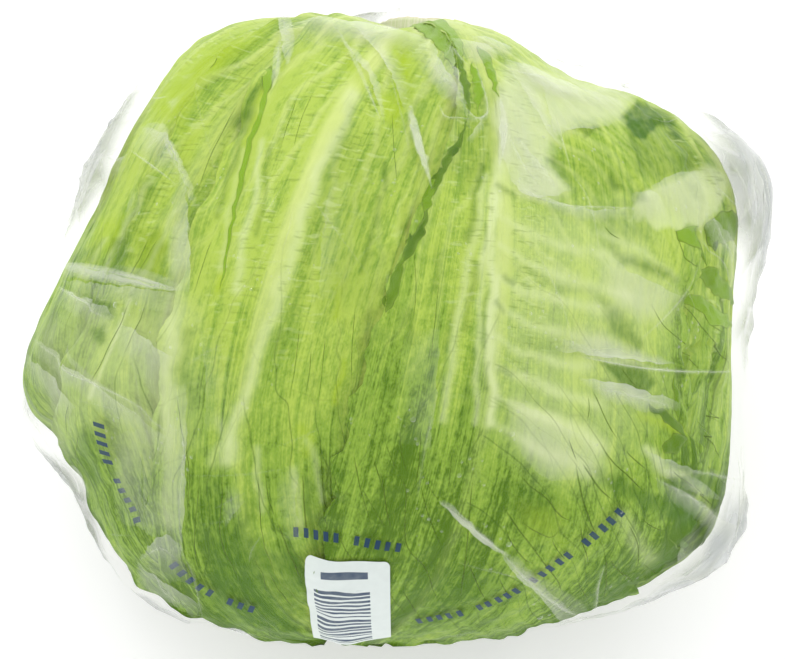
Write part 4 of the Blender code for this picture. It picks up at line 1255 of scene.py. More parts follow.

# Sharp folds that the slack film pinches into: small tapering ridges on the sheet. A fold has a
# route through pixels of the picture, its half widths at both ends in millimetres, how milky it
# is, and 1 where it is laid flat as a doubled strip. Loose folds are strewn over the whole bag.
# The milk along a fold's crest is partly the film's haze and partly a painted highlight of the fold.
FOLDS = (
    (((700, 138), (724, 135), (746, 142), (760, 164), (768, 196), (766, 234), (760, 262)), (0.8, 0.8),
     0.4, 0),
    (((742, 150), (752, 176), (748, 206), (736, 226)), (1.6, 0.6), 0.3, 1),
    (((716, 150), (736, 170), (742, 196)), (0.5, 0.5), 0.4, 0),
    (((708, 186), (726, 196), (744, 216)), (0.4, 0.5), 0.4, 0),
    (((160, 100), (122, 116), (98, 134), (90, 160), (82, 200), (80, 228)), (0.7, 0.7), 0.34, 0),
    (((30, 400), (22, 430), (30, 470), (56, 498), (84, 512)), (0.7, 0.7), 0.34, 0),
    (((98, 530), (120, 566), (134, 590), (170, 614)), (0.7, 0.8), 0.34, 0),
    (((736, 500), (738, 540), (722, 566), (712, 590)), (0.7, 0.7), 0.34, 0),
    (((62, 265), (120, 276), (179, 291)), (2.6, 0.6), 0.42, 1),
    (((60, 262), (120, 274), (182, 290)), (0.5, 0.5), 0.5, 0),
    (((59, 286), (88, 303), (115, 321)), (1.6, 0.3), 0.5, 0),
    (((34, 338), (102, 387), (176, 435)), (0.9, 0.7), 0.5, 0),
    (((112, 268), (150, 278), (182, 288)), (2.2, 1.5), 0.14, 1),
    (((130, 150), (155, 168), (176, 184)), (1.0, 0.5), 0.55, 0),
    (((166, 135), (180, 170), (191, 204)), (1.2, 2.0), 0.4, 0),
    (((150, 97), (168, 97)), (0.5, 0.5), 0.5, 0),
    (((142, 128), (160, 132), (170, 150)), (2.4, 2.8), 0.2, 1),
    (((287, 15), (290, 40), (288, 64)), (2.0, 0.8), 0.3, 1),
    (((279, 40), (276, 70), (272, 90)), (1.6, 0.5), 0.28, 1),
    (((342, 38), (365, 85), (383, 125)), (1.2, 0.6), 0.3, 0),
    (((330, 20), (350, 50), (380, 120)), (0.5, 0.8), 0.3, 0),
    (((409, 110), (420, 150), (432, 189)), (2.2, 0.4), 0.48, 1),
    (((448, 45), (458, 56), (468, 66)), (1.6, 0.6), 0.42, 0),
    (((474, 61), (487, 110), (472, 120)), (0.6, 1.0), 0.45, 0),
    (((472, 120), (448, 118), (438, 105)), (0.9, 0.5), 0.4, 0),
    (((498, 97), (503, 130), (499, 166)), (2.0, 1.0), 0.4, 1),
    (((507, 130), (520, 160), (540, 188)), (0.8, 0.6), 0.3, 0),
    (((524, 190), (560, 205), (630, 209)), (0.7, 1.0), 0.42, 0),
    (((505, 70), (540, 78), (590, 92)), (1.0, 2.0), 0.3, 0),
    (((590, 95), (640, 90), (690, 120)), (2.0, 0.8), 0.3, 1),
    (((553, 110), (562, 140), (571, 172)), (0.5, 0.5), 0.3, 0),
    (((571, 172), (590, 205), (600, 260)), (0.5, 0.5), 0.26, 0),
    (((536, 250), (560, 300), (575, 352)), (0.5, 0.5), 0.2, 0),
    (((630, 110), (665, 122), (690, 112)), (0.4, 0.4), 0.3, 0),
    (((576, 356), (653, 369), (740, 371)), (0.9, 0.9), 0.5, 0),
    (((560, 340), (600, 356), (650, 366)), (2.0, 0.8), 0.2, 1),
    (((592, 387), (630, 395), (673, 407)), (2.4, 1.6), 0.26, 0),
    (((655, 478), (690, 496), (724, 519)), (1.4, 0.8), 0.35, 0),
    (((660, 470), (700, 488), (722, 500)), (2.6, 1.0), 0.22, 1),
    (((690, 470), (740, 480)), (1.0, 1.6), 0.36, 0),
    (((439, 501), (475, 530), (507, 555)), (1.0, 1.6), 0.52, 0),
    (((500, 550), (543, 593), (587, 616)), (1.6, 2.4), 0.5, 0),
    (((520, 570), (560, 600), (585, 612)), (3.4, 3.4), 0.14, 1),
    (((604, 565), (597, 590), (589, 616)), (0.7, 1.0), 0.45, 0),
    (((560, 628), (600, 622), (640, 612)), (1.4, 0.8), 0.3, 1),
    (((77, 473), (84, 481), (89, 489)), (0.7, 0.9), 0.4, 0),
    (((176, 387), (184, 453), (181, 540)), (0.7, 0.7), 0.25, 0),
    (((70, 330), (120, 400), (165, 430)), (0.8, 1.8), 0.14, 1),
    (((640, 340), (680, 300), (700, 262)), (0.7, 0.5), 0.3, 0),
    (((706, 200), (728, 250), (738, 318)), (1.0, 0.8), 0.34, 0),
    (((725, 150), (745, 190), (752, 240)), (1.0, 0.5), 0.34, 0),
    (((735, 140), (760, 170), (770, 200)), (0.6, 1.2), 0.3, 0),
    (((700, 240), (722, 262), (745, 330)), (0.5, 0.8), 0.3, 0),
    (((95, 150), (86, 190), (84, 230)), (0.9, 0.5), 0.34, 0),
    (((120, 100), (108, 130), (100, 150)), (0.7, 0.7), 0.3, 0),
    (((95, 150), (115, 160), (130, 152)), (0.5, 0.9), 0.34, 0),
    (((24, 395), (40, 430), (66, 470)), (1.2, 0.6), 0.3, 0),
    (((150, 565), (165, 590), (190, 605)), (1.6, 0.8), 0.3, 0),
    (((140, 560), (160, 548), (178, 560)), (0.8, 0.8), 0.34, 0),
    (((180, 545), (195, 580), (205, 620)), (0.9, 0.5), 0.26, 0),
    (((640, 600), (690, 580), (735, 545)), (1.0, 1.0), 0.26, 0),
    (((700, 590), (715, 560), (740, 500)), (0.8, 1.2), 0.26, 0),
    (((730, 560), (738, 520), (741, 440)), (0.7, 0.7), 0.28, 0),
    (((430, 60), (455, 90), (470, 130)), (0.5, 0.9), 0.2, 0),
    (((385, 60), (400, 110), (412, 160)), (0.5, 0.5), 0.18, 0),
    (((205, 250), (260, 262), (300, 258)), (0.4, 0.4), 0.12, 0),
)
FOLD_ROWS, LOOSE_FOLD_ROWS = 26, 14
FOLD_LIFT = 0.04 * MM
FLAT_FOLD_HEIGHT = 0.25 * MM
LOOSE_FOLDS = 110
FOLD_ACROSS = np.array((-1, -0.8, -0.55, -0.32, -0.16, -0.06, 0, 0.06, 0.16, 0.32, 0.55, 0.8, 1))


def fold_grid(route, half_widths, strength, flat):
    """The grid of one fold: its points, and how milky the film is across it, whitest on the crest as a
    painted highlight.
    """
    taper = np.sin(np.linspace(0.06, math.pi - 0.06, len(route))) ** 0.55
    wide = np.linspace(*half_widths, len(route)) * MM * taper
    crest = 1 - np.abs(FOLD_ACROSS)
    direction = strip(route, wide / FILM_REACH, FOLD_ACROSS)
    if flat:
        height = np.minimum(FLAT_FOLD_HEIGHT, 0.2 * wide)[:, None] * crest**0.3
        band = np.minimum(1, 3 * crest) * (0.75 + 0.25 * FOLD_ACROSS)
    else:
        height = wide[:, None] * 0.5 * crest**1.4
        band = 0.3 * crest**1.5 + 0.7 * crest**5
    raised = film_radius_at(direction) + FOLD_LIFT + height
    milk_and_highlight = strength * taper[:, None] * band
    return CENTRE + raised[..., None] * direction, np.stack((0 * milk_and_highlight, 0 * milk_and_highlight, milk_and_highlight), axis=-1)


grids = []
for marks, half_widths, strength, flat in FOLDS:
    route = fold_route(spots(marks, film_radius_at), FOLD_ROWS)
    grids.append(fold_grid(route, half_widths, strength, flat))
draw = np.random.default_rng(7)
for _ in range(LOOSE_FOLDS):
    start = draw.normal(size=3)
    start /= np.linalg.norm(start)
    heading = np.cross(start, draw.normal(size=3))
    heading = heading / np.linalg.norm(heading) + 0.8 * (NECK - (start @ NECK) * start)
    length, bend = draw.uniform(0.05, 0.34), 0.12 * draw.normal(size=3)
    marks = np.array([start + k * length * heading + (k - k * k) * length * bend for k in (0, 0.5, 1)])
    half, strength = draw.uniform(0.35, 1.0), draw.uniform(0.05, 0.22)
    if start[2] > -0.55 and start @ NECK < 0.85:
        route = fold_route(marks, LOOSE_FOLD_ROWS)
        grids.append(fold_grid(route, (half, 0.6 * half), strength, False))
folds = add_grids("film_folds", grids, clear_film, "film")

# Between two folds the slack film lies as a flat facet, painted as a milky veil that is partly the
# film's haze and partly a painted sheen of the light on the facet. A facet runs from its crisp first
# side to its second, through these pixels, with how milky it is at both, and others of no picture
# are strewn over the sides and back.
FACETS = (
    (((64, 262), (95, 270), (128, 279), (182, 291)), ((62, 277), (92, 281), (128, 286), (182, 291)),
     0.46, 0.36),
    (((62, 280), (110, 285), (176, 292)), ((80, 296), (118, 304), (170, 312)), 0.24, 0.04),
    (((59, 286), (80, 296), (100, 305), (116, 316)), ((56, 304), (74, 314), (92, 324), (106, 334)),
     0.36, 0.02),
    (((118, 320), (136, 332), (156, 346), (172, 356)), ((116, 348), (132, 368), (148, 388), (166, 404)),
     0.36, 0.04),
    (((34, 338), (60, 357), (90, 379), (134, 412), (178, 440)), ((32, 352), (56, 372), (84, 396),
     (124, 432), (170, 462)), 0.34, 0.0),
    (((28, 352), (44, 370), (60, 388), (76, 408)), ((24, 372), (38, 390), (52, 408), (66, 424)), 0.34,
     0.02),
    (((187, 384), (187, 440), (185, 500), (182, 562)), ((164, 380), (162, 440), (160, 500), (160, 556)),
     0.3, 0.04),
    (((110, 436), (140, 430), (172, 430)), ((116, 520), (146, 532), (174, 540)), 0.06, 0.26),
    (((142, 127), (156, 131), (168, 136), (179, 172)), ((130, 150), (148, 160), (165, 172), (178, 183)),
     0.28, 0.22),
    (((165, 135), (172, 150), (181, 172), (192, 206)), ((169, 135), (178, 152), (188, 174), (197, 206)),
     0.44, 0.3),
    (((180, 174), (188, 205), (190, 245), (190, 292)), ((174, 184), (172, 214), (168, 246), (164, 290)),
     0.32, 0.14),
    (((280, 15), (282, 40), (286, 66)), ((291, 15), (291, 40), (289, 66)), 0.36, 0.26),
    (((280, 30), (277, 58), (272, 88)), ((287, 34), (285, 58), (277, 84)), 0.2, 0.04),
    (((288, 22), (340, 20), (390, 27), (432, 40)), ((290, 52), (336, 46), (385, 50), (424, 60)), 0.5,
     0.04),
    (((352, 24), (372, 46), (392, 76), (404, 110)), ((372, 24), (392, 48), (408, 80), (412, 112)), 0.3,
     0.02),
    (((430, 40), (440, 60), (452, 78), (462, 100)), ((410, 48), (420, 70), (436, 92), (454, 108)), 0.34,
     0.04),
    (((470, 36), (494, 40), (514, 48)), ((474, 50), (494, 54), (510, 62)), 0.4, 0.1),
    (((506, 66), (530, 100), (548, 132), (560, 150)), ((516, 66), (540, 98), (556, 126), (566, 142)),
     0.24, 0.03),
    (((520, 62), (556, 84), (600, 98)), ((516, 70), (552, 94), (596, 108)), 0.3, 0.0),
    (((339, 38), (356, 58), (370, 80), (384, 126)), ((343, 38), (364, 58), (380, 84), (386, 126)), 0.3,
     0.22),
    (((409, 107), (411, 130), (419, 156), (433, 191)), ((411, 107), (420, 130), (428, 158), (433, 191)),
     0.5, 0.44),
    (((449, 44), (456, 64), (462, 86), (468, 116)), ((424, 60), (432, 82), (446, 102), (462, 118)),
     0.28, 0.06),
    (((450, 38), (470, 41), (488, 46), (500, 56)), ((458, 54), (468, 62), (478, 64), (492, 62)), 0.36,
     0.16),
    (((464, 106), (474, 114), (482, 116), (489, 106)), ((468, 124), (478, 122), (486, 118), (491, 108)),
     0.3, 0.22),
    (((487, 112), (477, 124), (466, 142)), ((491, 116), (482, 130), (472, 144)), 0.3, 0.1),
    (((499, 78), (500, 110), (500, 140), (508, 174)), ((540, 78), (546, 110), (549, 146), (560, 190)),
     0.32, 0.2),
    (((540, 82), (548, 108), (552, 128), (556, 140)), ((637, 92), (624, 116), (600, 128), (578, 121)),
     0.2, 0.34),
    (((508, 172), (520, 192), (546, 197), (571, 190)), ((548, 150), (548, 160), (558, 172), (571, 188)),
     0.36, 0.26),
    (((512, 132), (528, 150), (546, 172), (560, 192)), ((508, 132), (520, 150), (536, 170), (552, 192)),
     0.2, 0.06),
    (((504, 58), (540, 70), (578, 87), (628, 104)), ((506, 80), (530, 90), (570, 101), (620, 112)), 0.4,
     0.04),
    (((523, 188), (560, 202), (590, 210), (628, 207)), ((528, 200), (560, 214), (590, 222), (640, 222)),
     0.38, 0.04),
    (((650, 186), (664, 178), (690, 172), (706, 168)), ((676, 229), (700, 232), (715, 220), (714, 186)),
     0.3, 0.2),
    (((632, 194), (650, 190), (662, 200)), ((634, 214), (654, 221), (677, 232)), 0.28, 0.14),
    (((608, 256), (632, 272), (660, 286), (682, 296)), ((596, 278), (614, 302), (632, 316), (646, 326)),
     0.22, 0.16),
    (((556, 351), (600, 356), (640, 361), (676, 366)), ((580, 316), (604, 326), (622, 340), (652, 352)),
     0.44, 0.02),
    (((578, 378), (606, 380), (642, 390), (680, 402)), ((598, 398), (624, 406), (650, 412), (680, 410)),
     0.42, 0.22),
    (((655, 478), (690, 496), (724, 519), (740, 524)), ((660, 500), (690, 514), (716, 536), (726, 546)),
     0.36, 0.08),
    (((646, 451), (662, 457), (680, 465), (702, 470)), ((650, 468), (664, 476), (684, 478), (700, 478)),
     0.38, 0.06),
    (((439, 500), (455, 518), (480, 540), (506, 557)), ((446, 499), (469, 521), (491, 542), (512, 556)),
     0.52, 0.46),
    (((500, 555), (520, 580), (545, 602), (562, 624)), ((518, 556), (540, 582), (562, 602), (592, 618)),
     0.42, 0.32),
    (((138, 560), (150, 572), (172, 586), (204, 606)), ((140, 594), (160, 604), (182, 607), (198, 622)),
     0.34, 0.26),
    (((140, 560), (150, 544), (166, 534), (182, 546)), ((150, 580), (165, 583), (182, 582), (198, 594)),
     0.3, 0.12),
    (((505, 396), (532, 408), (562, 424), (604, 450)), ((514, 442), (530, 466), (552, 479), (590, 478)),
     0.1, 0.26),
    (((60, 462), (74, 466), (84, 478), (91, 494)), ((62, 492), (74, 495), (84, 497), (91, 500)), 0.3,
     0.14),
    (((640, 100), (668, 116), (690, 128)), ((622, 124), (660, 118), (690, 112)), 0.0, 0.14),
    (((704, 210), (724, 230), (740, 270)), ((712, 250), (724, 262), (738, 300)), 0.26, 0.12),
    (((750, 150), (762, 180), (770, 215)), ((738, 160), (748, 186), (756, 230)), 0.3, 0.05),
    (((700, 136), (730, 134), (752, 142)), ((716, 166), (734, 160), (748, 156)), 0.22, 0.05),
    (((88, 140), (82, 180), (78, 220)), ((104, 150), (96, 190), (86, 230)), 0.26, 0.02),
    (((112, 104), (98, 126), (92, 150)), ((136, 120), (124, 140), (120, 158)), 0.24, 0.04),
    (((96, 152), (110, 158), (128, 156)), ((100, 172), (112, 180), (122, 176)), 0.24, 0.03),
    (((640, 590), (690, 580), (706, 592)), ((650, 578), (690, 570), (722, 556)), 0.28, 0.1),
    (((742, 420), (746, 470), (744, 520)), ((730, 430), (732, 480), (730, 530)), 0.24, 0.06),
    (((200, 330), (206, 380), (204, 430)), ((230, 330), (238, 380), (232, 430)), 0.1, 0.0),
    (((330, 186), (322, 240), (320, 300)), ((352, 180), (346, 240), (340, 300)), 0.1, 0.0),
    (((440, 330), (436, 400), (430, 450)), ((404, 330), (396, 396), (400, 440)), 0.12, 0.0),
    (((300, 470), (296, 500), (300, 540)), ((278, 470), (276, 500), (284, 540)), 0.18, 0.04),
    (((246, 500), (236, 512), (226, 526)), ((232, 480), (226, 494), (222, 512)), 0.16, 0.06),
)
LOOSE_FACETS = 46
LOOSE_FACET_GRID = (18, 7)
FACET_WANDER = 0.004
FACET_LIFT, FACET_CROWN = 0.06 * MM, 0.30 * MM
LIFT_LEVELS, LIFT_STEP = 9, 0.006 * MM

grids = []
for first, second, near, far in FACETS:
    sides = spots(first, film_radius_at), spots(second, film_radius_at)
    grids.append((ruled(*sides, RULED_ROWS, RULED_COLUMNS, FACET_WANDER), near, far))
draw = np.random.default_rng(17)
for _ in range(LOOSE_FACETS):
    start = draw.normal(size=3)
    start /= np.linalg.norm(start)
    ahead = np.cross(start, draw.normal(size=3))
    ahead /= np.linalg.norm(ahead)
    aside = np.cross(start, ahead)
    length, width, slant = draw.uniform(0.10, 0.40), draw.uniform(0.04, 0.16), draw.uniform(-0.6, 0.6)
    shares = (0, 0.5, 1)
    first = np.array([start + k * length * ahead + 0.03 * draw.normal() * aside for k in shares])
    slanted = [(k * 0.8 + slant * 0.2) * length for k in shares]
    second = np.array([start + k * ahead + width * aside for k in slanted])
    if start[2] > -0.5 and start @ NECK < 0.8 and start @ FACE_OUT < 0.45:
        direction = ruled(first, second, *LOOSE_FACET_GRID, FACET_WANDER)
        grids.append((direction, draw.uniform(0.14, 0.34), 0.0))
for number, (direction, near, far) in enumerate(grids):
    rows, columns = direction.shape[:2]
    across = np.linspace(0, 1, columns)[None, :]
    ends = np.sin(np.linspace(0.02, math.pi - 0.02, rows))[:, None] ** 0.7
    strength = (near + (far - near) * across) * ends * (1 - 0.8 * across**4)
    lift = FACET_LIFT + LIFT_STEP * (number % LIFT_LEVELS) + FACET_CROWN * (1 - across) * near * ends
    radius = film_radius_at(direction) + lift
    numbers = np.stack((0 * strength, 0 * strength, strength), axis=-1)
    grids[number] = (CENTRE + radius[..., None] * direction, numbers)
facets = add_grids("film_facets", grids, clear_film, "film")
# Film this thin hardly shades what lies in it, so it casts no shadow here.
for thin in (film_sheet, folds, facets):
    thin.visible_shadow = False

# Drops of water stand where the film was wet: little clear beads, a few together, on the side
# that faces the camera.
DROPS = 230
BUNCHES = 60
BUNCHED_WITHIN = ((90, 60), (715, 610))
BUNCH_SPREAD = 13
DROP_RINGS, DROP_SIDES = 4, 10
DROP_RIM_ANGLE = 1.35
DROP_SINK = 0.04 * MM
LARGE_DROP_EACH, LARGE_DROP = 23, 1.7
WATER_CLEAR = (0.72, 0.80, 0.62, 1)
WATER_BRIGHT = (1.0, 1.0, 0.98, 1)

clear_water, wire = new_material("clear_water")
rim_light = wire.node("LayerWeight", sockets={"Blend": 0.45}, out="Facing")
speck = wire.node("TexNoise", sockets={"Scale": 900.0, "Detail": 1.0})
shader = wire.node("BsdfPrincipled", sockets={
    "Base Color": rim_light.mix(WATER_CLEAR, WATER_BRIGHT),
    "Roughness": 0.03 + speck * 0.04, "Alpha": 0.12 + rim_light.step(0.25, 0.85) * 0.6,
})
end_material(wire, shader)
draw = np.random.default_rng(23)
points, faces, count = [], [], 0
bunches = draw.uniform(*BUNCHED_WITHIN, size=(BUNCHES, 2))
ring_angles = np.linspace(0, DROP_RIM_ANGLE, DROP_RINGS)[::-1]
ring_out, ring_up = np.sin(ring_angles), np.cos(ring_angles)
spin = np.linspace(0, 2 * math.pi, DROP_SIDES, endpoint=False)
for number_drawn in range(DROPS):
    pixel = bunches[draw.integers(len(bunches))] + draw.normal(size=2) * BUNCH_SPREAD
    radius = MM * draw.uniform(0.22, 0.5) * (1.0 if number_drawn % LARGE_DROP_EACH else LARGE_DROP)
    spot = spots(pixel[None], film_radius_at)[0]
    if spot @ FACE_OUT < 0.3:
        continue
    base = CENTRE + (film_radius_at(spot[None])[0] - DROP_SINK) * spot
    east = unit(np.cross(spot, STEM))
    north = np.cross(spot, east)
    hoop = np.cos(spin)[:, None] * east + np.sin(spin)[:, None] * north
    dome = base + radius * (ring_out[:, None, None] * hoop + 0.75 * ring_up[:, None, None] * spot)
    points.append(dome.reshape(-1, 3))
    faces.append(grid_faces(DROP_RINGS, DROP_SIDES, wrap=True) + count)
    count += DROP_RINGS * DROP_SIDES
drops = add_piece("water_drops", np.concatenate(points), np.concatenate(faces), clear_water)

# A plain off-white panel is printed on the film low on the face, with rows of blue bars by a
# rule of their own and no lettering. The loose film under it makes the panel wave.
PANEL_TOP_CORNERS = ((306, 553), (390, 561))
PANEL_HEIGHT = 38 * MM
PANEL_GRID = (90, 70)
PANEL_LIFT = 0.06 * MM
PANEL_BARS = 21
PANEL_WHITE = (0.78, 0.85, 0.82, 1)
BAR_BLUE = (0.012, 0.045, 0.11, 1)

down_share, across_share = np.meshgrid(
    np.linspace(0, 1, PANEL_GRID[0]), np.linspace(0, 1, PANEL_GRID[1]), indexing="ij"
)
left, right = spots(PANEL_TOP_CORNERS, film_radius_at)
reach = float(film_radius_at(left[None])[0])
downward = np.cross(right - left, left + right)
downward = downward / np.linalg.norm(downward) * math.copysign(1, downward @ -FACE_UP)
direction = left + across_share[..., None] * (right - left)
direction = unit(direction + (down_share * PANEL_HEIGHT / reach)[..., None] * downward)
points = CENTRE + (film_radius_at(direction) + PANEL_LIFT)[..., None] * direction
printed, wire = new_material("printed_panel")
u, v, _ = wire.stored("panel")
wave = wire.noise(u * 2.2, v * 5.0, 1.0)
band = (v + (wave - 0.5) * 0.05) * PANEL_BARS
bar_seed = wire.node("TexWhiteNoise", {"noise_dimensions": "1D"}, {"W": band.math("FLOOR")})
bar = band.math("FRACT").math("LESS_THAN", 0.25 + bar_seed * 0.5)
inside = u.within(0.10, 0.76) * v.math("GREATER_THAN", 0.27)
head_bar = v.within(0.09, 0.16) * u.within(0.2, 0.74)
corner_u = (abs(u - 0.5) - 0.42).math("MAXIMUM", 0.0) / 0.08
corner_v = (0.055 - v).math("MAXIMUM", 0.0) / 0.055
rounded = (corner_u * corner_u + corner_v * corner_v).math("LESS_THAN", 1.0)
faded = wire.cloud(400.0, 3.0)
ink = (bar * inside).math("MAXIMUM", head_bar) * (0.78 + faded * 0.3)
shader = wire.node("BsdfPrincipled", sockets={
    "Base Color": ink.full().mix(PANEL_WHITE, BAR_BLUE), "Roughness": 0.32,
    "Alpha": rounded * (0.86 + faded * 0.1),
})
end_material(wire, shader)
stored = {"panel": np.stack((across_share, down_share, 0 * down_share), axis=-1)}
panel = add_piece("printed_panel", points, grid_faces(*PANEL_GRID)[:, ::-1], printed, stored)

# The rest of the bag's print is rows of plain blue dashes, with no lettering: over the panel, down
# its left side and along its lower right.
DASH_ROWS = (
    ((290, 532), (346, 539), (404, 548)),
    ((98, 420), (112, 470), (139, 528)),
    ((170, 561), (208, 592), (262, 612)),
    ((414, 622), (500, 599), (562, 560), (627, 505)),
)
DASH_STEP = 2.7 * MM
DASH_WIDTH = 1.3 * MM
DASH_HEIGHT = 3.0 * MM
DASH_LIFT = 0.05 * MM
DASH_GRID = (3, 5)
DASHES_A_GROUP = 6
DASH_ROUTE_POINTS = 200

blue_print, wire = new_material("blue_print")
wear = wire.stored("print")[0]
shader = wire.node("BsdfPrincipled", sockets={
    "Base Color": BAR_BLUE, "Roughness": 0.35, "Specular IOR Level": 0.2,
    "Alpha": 0.97 - wear * wire.cloud(700.0, 2.0) * 0.3,
})
end_material(wire, shader)

grids = []
draw = np.random.default_rng(23)
for marks in spots_of(DASH_ROWS, film_radius_at):
    route = fold_route(marks, DASH_ROUTE_POINTS)
    strides = np.linalg.norm(np.diff(route, axis=0), axis=-1) * LEAF_REACH
    travelled = np.concatenate(((0,), np.cumsum(strides)))
    for number in range(int(travelled[-1] / DASH_STEP)):
        if number % DASHES_A_GROUP == DASHES_A_GROUP - 1:
            continue
        middle = int(np.searchsorted(travelled, (number + 0.5) * DASH_STEP))
        middle = min(middle, DASH_ROUTE_POINTS - 2)
        ahead = unit(route[middle + 1] - route[middle])
        beside = np.cross(route[middle], ahead)
        across = np.linspace(-0.5, 0.5, DASH_GRID[0]) * DASH_WIDTH / LEAF_REACH
        upward = np.linspace(-0.5, 0.5, DASH_GRID[1]) * DASH_HEIGHT / LEAF_REACH
        direction = unit(route[middle] + across[:, None, None] * ahead + upward[None, :, None] * beside)
        radius = film_radius_at(direction) + DASH_LIFT
        numbers = np.full((*DASH_GRID, 3), draw.uniform(0.2, 1.0))
        grids.append((CENTRE + radius[..., None] * direction, numbers))
dashes = add_grids("printed_dashes", grids, blue_print, "print")

# The cut stem: a stub of pale core whose cut face has browned in rings, with a wet milky rim.
STEM_PROUD = 1 * MM
STEM_RINGS, STEM_SIDES = 50, 110
FLANK_RINGS = 26
FLANK_INSET, FLANK_TAPER = 0.2 * MM, 2.5 * MM
FACE_BEVEL, FACE_INSET, FACE_DOME = 0.8 * MM, 1.0 * MM, 0.6 * MM
FACE_MIDDLE = 0.02 * MM
CUT_PALE = (0.74, 0.70, 0.50, 1)
CUT_BROWN = (0.42, 0.22, 0.085, 1)
BARK_GREEN = (0.66, 0.72, 0.40, 1)
BARK_PALE = (0.80, 0.80, 0.60, 1)

cut_stem, wire = new_material("cut_stem")
radial, turned, height = wire.stored("stem")
ring = wire.noise(radial * 0.9, 0.0, 1.0, detail=2.0)
patch = wire.noise(turned * 1.3, radial * 0.25, 5.0, detail=4.0)
strand = wire.noise(turned * 9.0, height * 0.10, 2.0, detail=3.0)
brown = ((patch - 0.42) * 3 + (ring - 0.5)).step(0.0, 1.1) * 0.75
face_colour = brown.mix(CUT_PALE, CUT_BROWN)
bark = strand.step(0.35, 0.7).mix(BARK_GREEN, BARK_PALE)
on_face = height.step(-0.4, 0.3)
bump = wire.bump(0.5, 0.5 * MM, patch + strand * 0.5 + ring * 0.4)
shader = wire.node("BsdfPrincipled", sockets={
    "Base Color": on_face.mix(bark, face_colour), "Roughness": 0.5 + patch * 0.2, "Normal": bump,
})
end_material(wire, shader)
cut = float(leafy_radius(STEM)) + STEM_PROUD
inside = cut - STEM_PROUD - (TOP_LEVEL + 1) * LEVEL_STEP
face_rings = STEM_RINGS - FLANK_RINGS
flank = np.linspace(inside - cut, -FACE_BEVEL, FLANK_RINGS)
profile_past = np.concatenate((flank, np.zeros(face_rings)))
profile_out = np.concatenate((
    STEM_RADIUS - FLANK_INSET - FLANK_TAPER * np.linspace(1, 0, FLANK_RINGS) ** 3,
    np.linspace(STEM_RADIUS - FACE_INSET, FACE_MIDDLE, face_rings),
))
turn = np.linspace(0, 2 * math.pi, STEM_SIDES, endpoint=False)
spoke = np.cos(turn)[:, None] * ABOVE_STEM + np.sin(turn)[:, None] * BESIDE_STEM
lumps = 0.35 * np.cos(5 * turn) + 0.25 * ripple(31, 0.5, np.cos(turn), np.sin(turn))
out = profile_out[:, None] * (1 + 0.03 * lumps)
rough = 0.25 * ripple(32, 4, out / MM * np.cos(turn), out / MM * np.sin(turn)) * MM
domed = rough + FACE_DOME * (1 - (out / STEM_RADIUS) ** 2)
rough = np.where(profile_past[:, None] == 0, domed, 0)
points = CENTRE + (cut + profile_past[:, None] + rough)[..., None] * STEM + out[..., None] * spoke
turned_mm = np.broadcast_to(turn, out.shape) * 3
height_mm = np.broadcast_to(profile_past[:, None] / MM + 0.2, out.shape)
stored = {"stem": np.stack((out / MM, turned_mm, height_mm), axis=-1)}
faces = grid_faces(*out.shape, wrap=True)[:, ::-1]
stem_piece = add_piece("cut_stem_stub", points, faces, cut_stem, stored)
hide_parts("stem")

# The dense inner head fills the wrapper leaves: closed pale leaves that lap over one another. Its
# own margins show as shallow steps, and it is seen only where no wrapper leaf covers it.
HEART_STEP = 1.0 * MM
HEART_LEAVES = ((-100, 60), (20, 70), (140, 55), (-20, 40), (80, 35))
HEART_GRID = (120, 170)
HEART_LAYER = -1
HEART_SWELLS, HEART_DIMPLES = 0.5 * MM, 0.25 * MM
HEART_GREEN = (0.30, 0.45, 0.07, 1)
HEART_PALE = (0.60, 0.72, 0.26, 1)
HEART_VEIN = (0.16, 0.30, 0.04, 1)

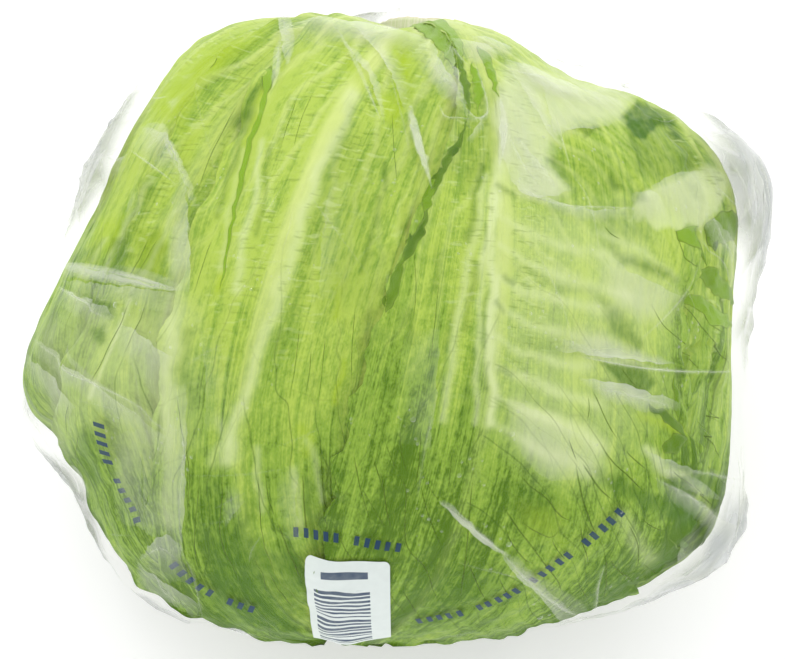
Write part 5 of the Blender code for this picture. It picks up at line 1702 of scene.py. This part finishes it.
heart_finish, wire = new_material("inner_leaves")
turned, down_mm, lap = wire.stored("heart")
vein = wire.noise(turned * 7.0, down_mm * 0.02, 3.0, detail=4.0)
spread = wire.noise(turned * 2.0, down_mm * 0.05, 9.0, detail=3.0)
net = wire.cells(wire.triple(turned * 4.0, down_mm * 0.09, 1.0))
pale = (vein * 0.7 + spread * 0.5 + lap * 0.2).step(0.3, 0.9)
green = ((1 - net.step(0.01, 0.06)) * 0.4).mix(pale.mix(HEART_GREEN, HEART_PALE), HEART_VEIN)
bump = wire.bump(0.4, 0.5 * MM, vein + spread * 0.5)
shader = wire.node("BsdfPrincipled", sockets={
    "Base Color": green, "Roughness": 0.4 + spread * 0.2, "Normal": bump, "Coat Weight": 0.2,
})
end_material(wire, shader)
along, azimuth = np.meshgrid(
    np.radians(np.linspace(8, 179.5, HEART_GRID[0])),
    np.linspace(0, 2 * math.pi, HEART_GRID[1], endpoint=False), indexing="ij",
)
outward = np.cos(azimuth)[..., None] * ABOVE_STEM + np.sin(azimuth)[..., None] * BESIDE_STEM
direction = np.cos(along)[..., None] * STEM + np.sin(along)[..., None] * outward
steps = np.zeros_like(along)
facing = np.moveaxis(direction, -1, 0)
wobble = 0.06 * ripple(41, 0.9, *facing)
for middle, half in HEART_LEAVES:
    away = np.abs(np.mod(azimuth - math.radians(middle) + math.pi, 2 * math.pi) - math.pi)
    lap = math.radians(half) * np.sin(np.clip(along, 0.4, math.pi)) ** 0.5
    steps += 0.5 * HEART_STEP * np.clip((lap + wobble - away) / math.radians(4) + 0.5, 0, 1)
relief = HEART_SWELLS * ripple(42, 0.16, *facing) + HEART_DIMPLES * ripple(43, 0.07, *facing)
radius = leafy_radius(direction) - (TOP_LEVEL + 1) * LEVEL_STEP - HEART_STEP + steps + relief
points = CENTRE + radius[..., None] * direction
points[..., 2] = np.maximum(points[..., 2], floor_of(HEART_LAYER))
stored = {"heart": np.stack((azimuth, along * 80, steps / HEART_STEP), axis=-1)}
faces = grid_faces(*HEART_GRID, wrap=True)[:, ::-1]
heart = add_piece("inner_head_leaves", points, faces, heart_finish, stored)
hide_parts("inner_head")

# White tape holds the neck shut. The tape's own solid is right as it is, and gets a finish with
# fine ribs across it and a slight gloss.
TAPE_SOILED = (0.80, 0.82, 0.84, 1)
TAPE_WHITE = (0.90, 0.91, 0.92, 1)

tape_finish, wire = new_material("white_tape")
rib = wire.cloud(900.0, 2.0)
shader = wire.node("BsdfPrincipled", sockets={
    "Base Color": wire.cloud(120.0, 4.0).mix(TAPE_SOILED, TAPE_WHITE),
    "Roughness": 0.3 + rib * 0.2, "Normal": wire.bump(0.3, 0.1 * MM, rib),
})
end_material(wire, shader)
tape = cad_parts["neck_tape"]
tape.data.materials.clear()
tape.data.materials.append(tape_finish)

size = {"cad": cad_box, "visual": [list(corner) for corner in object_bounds()]}
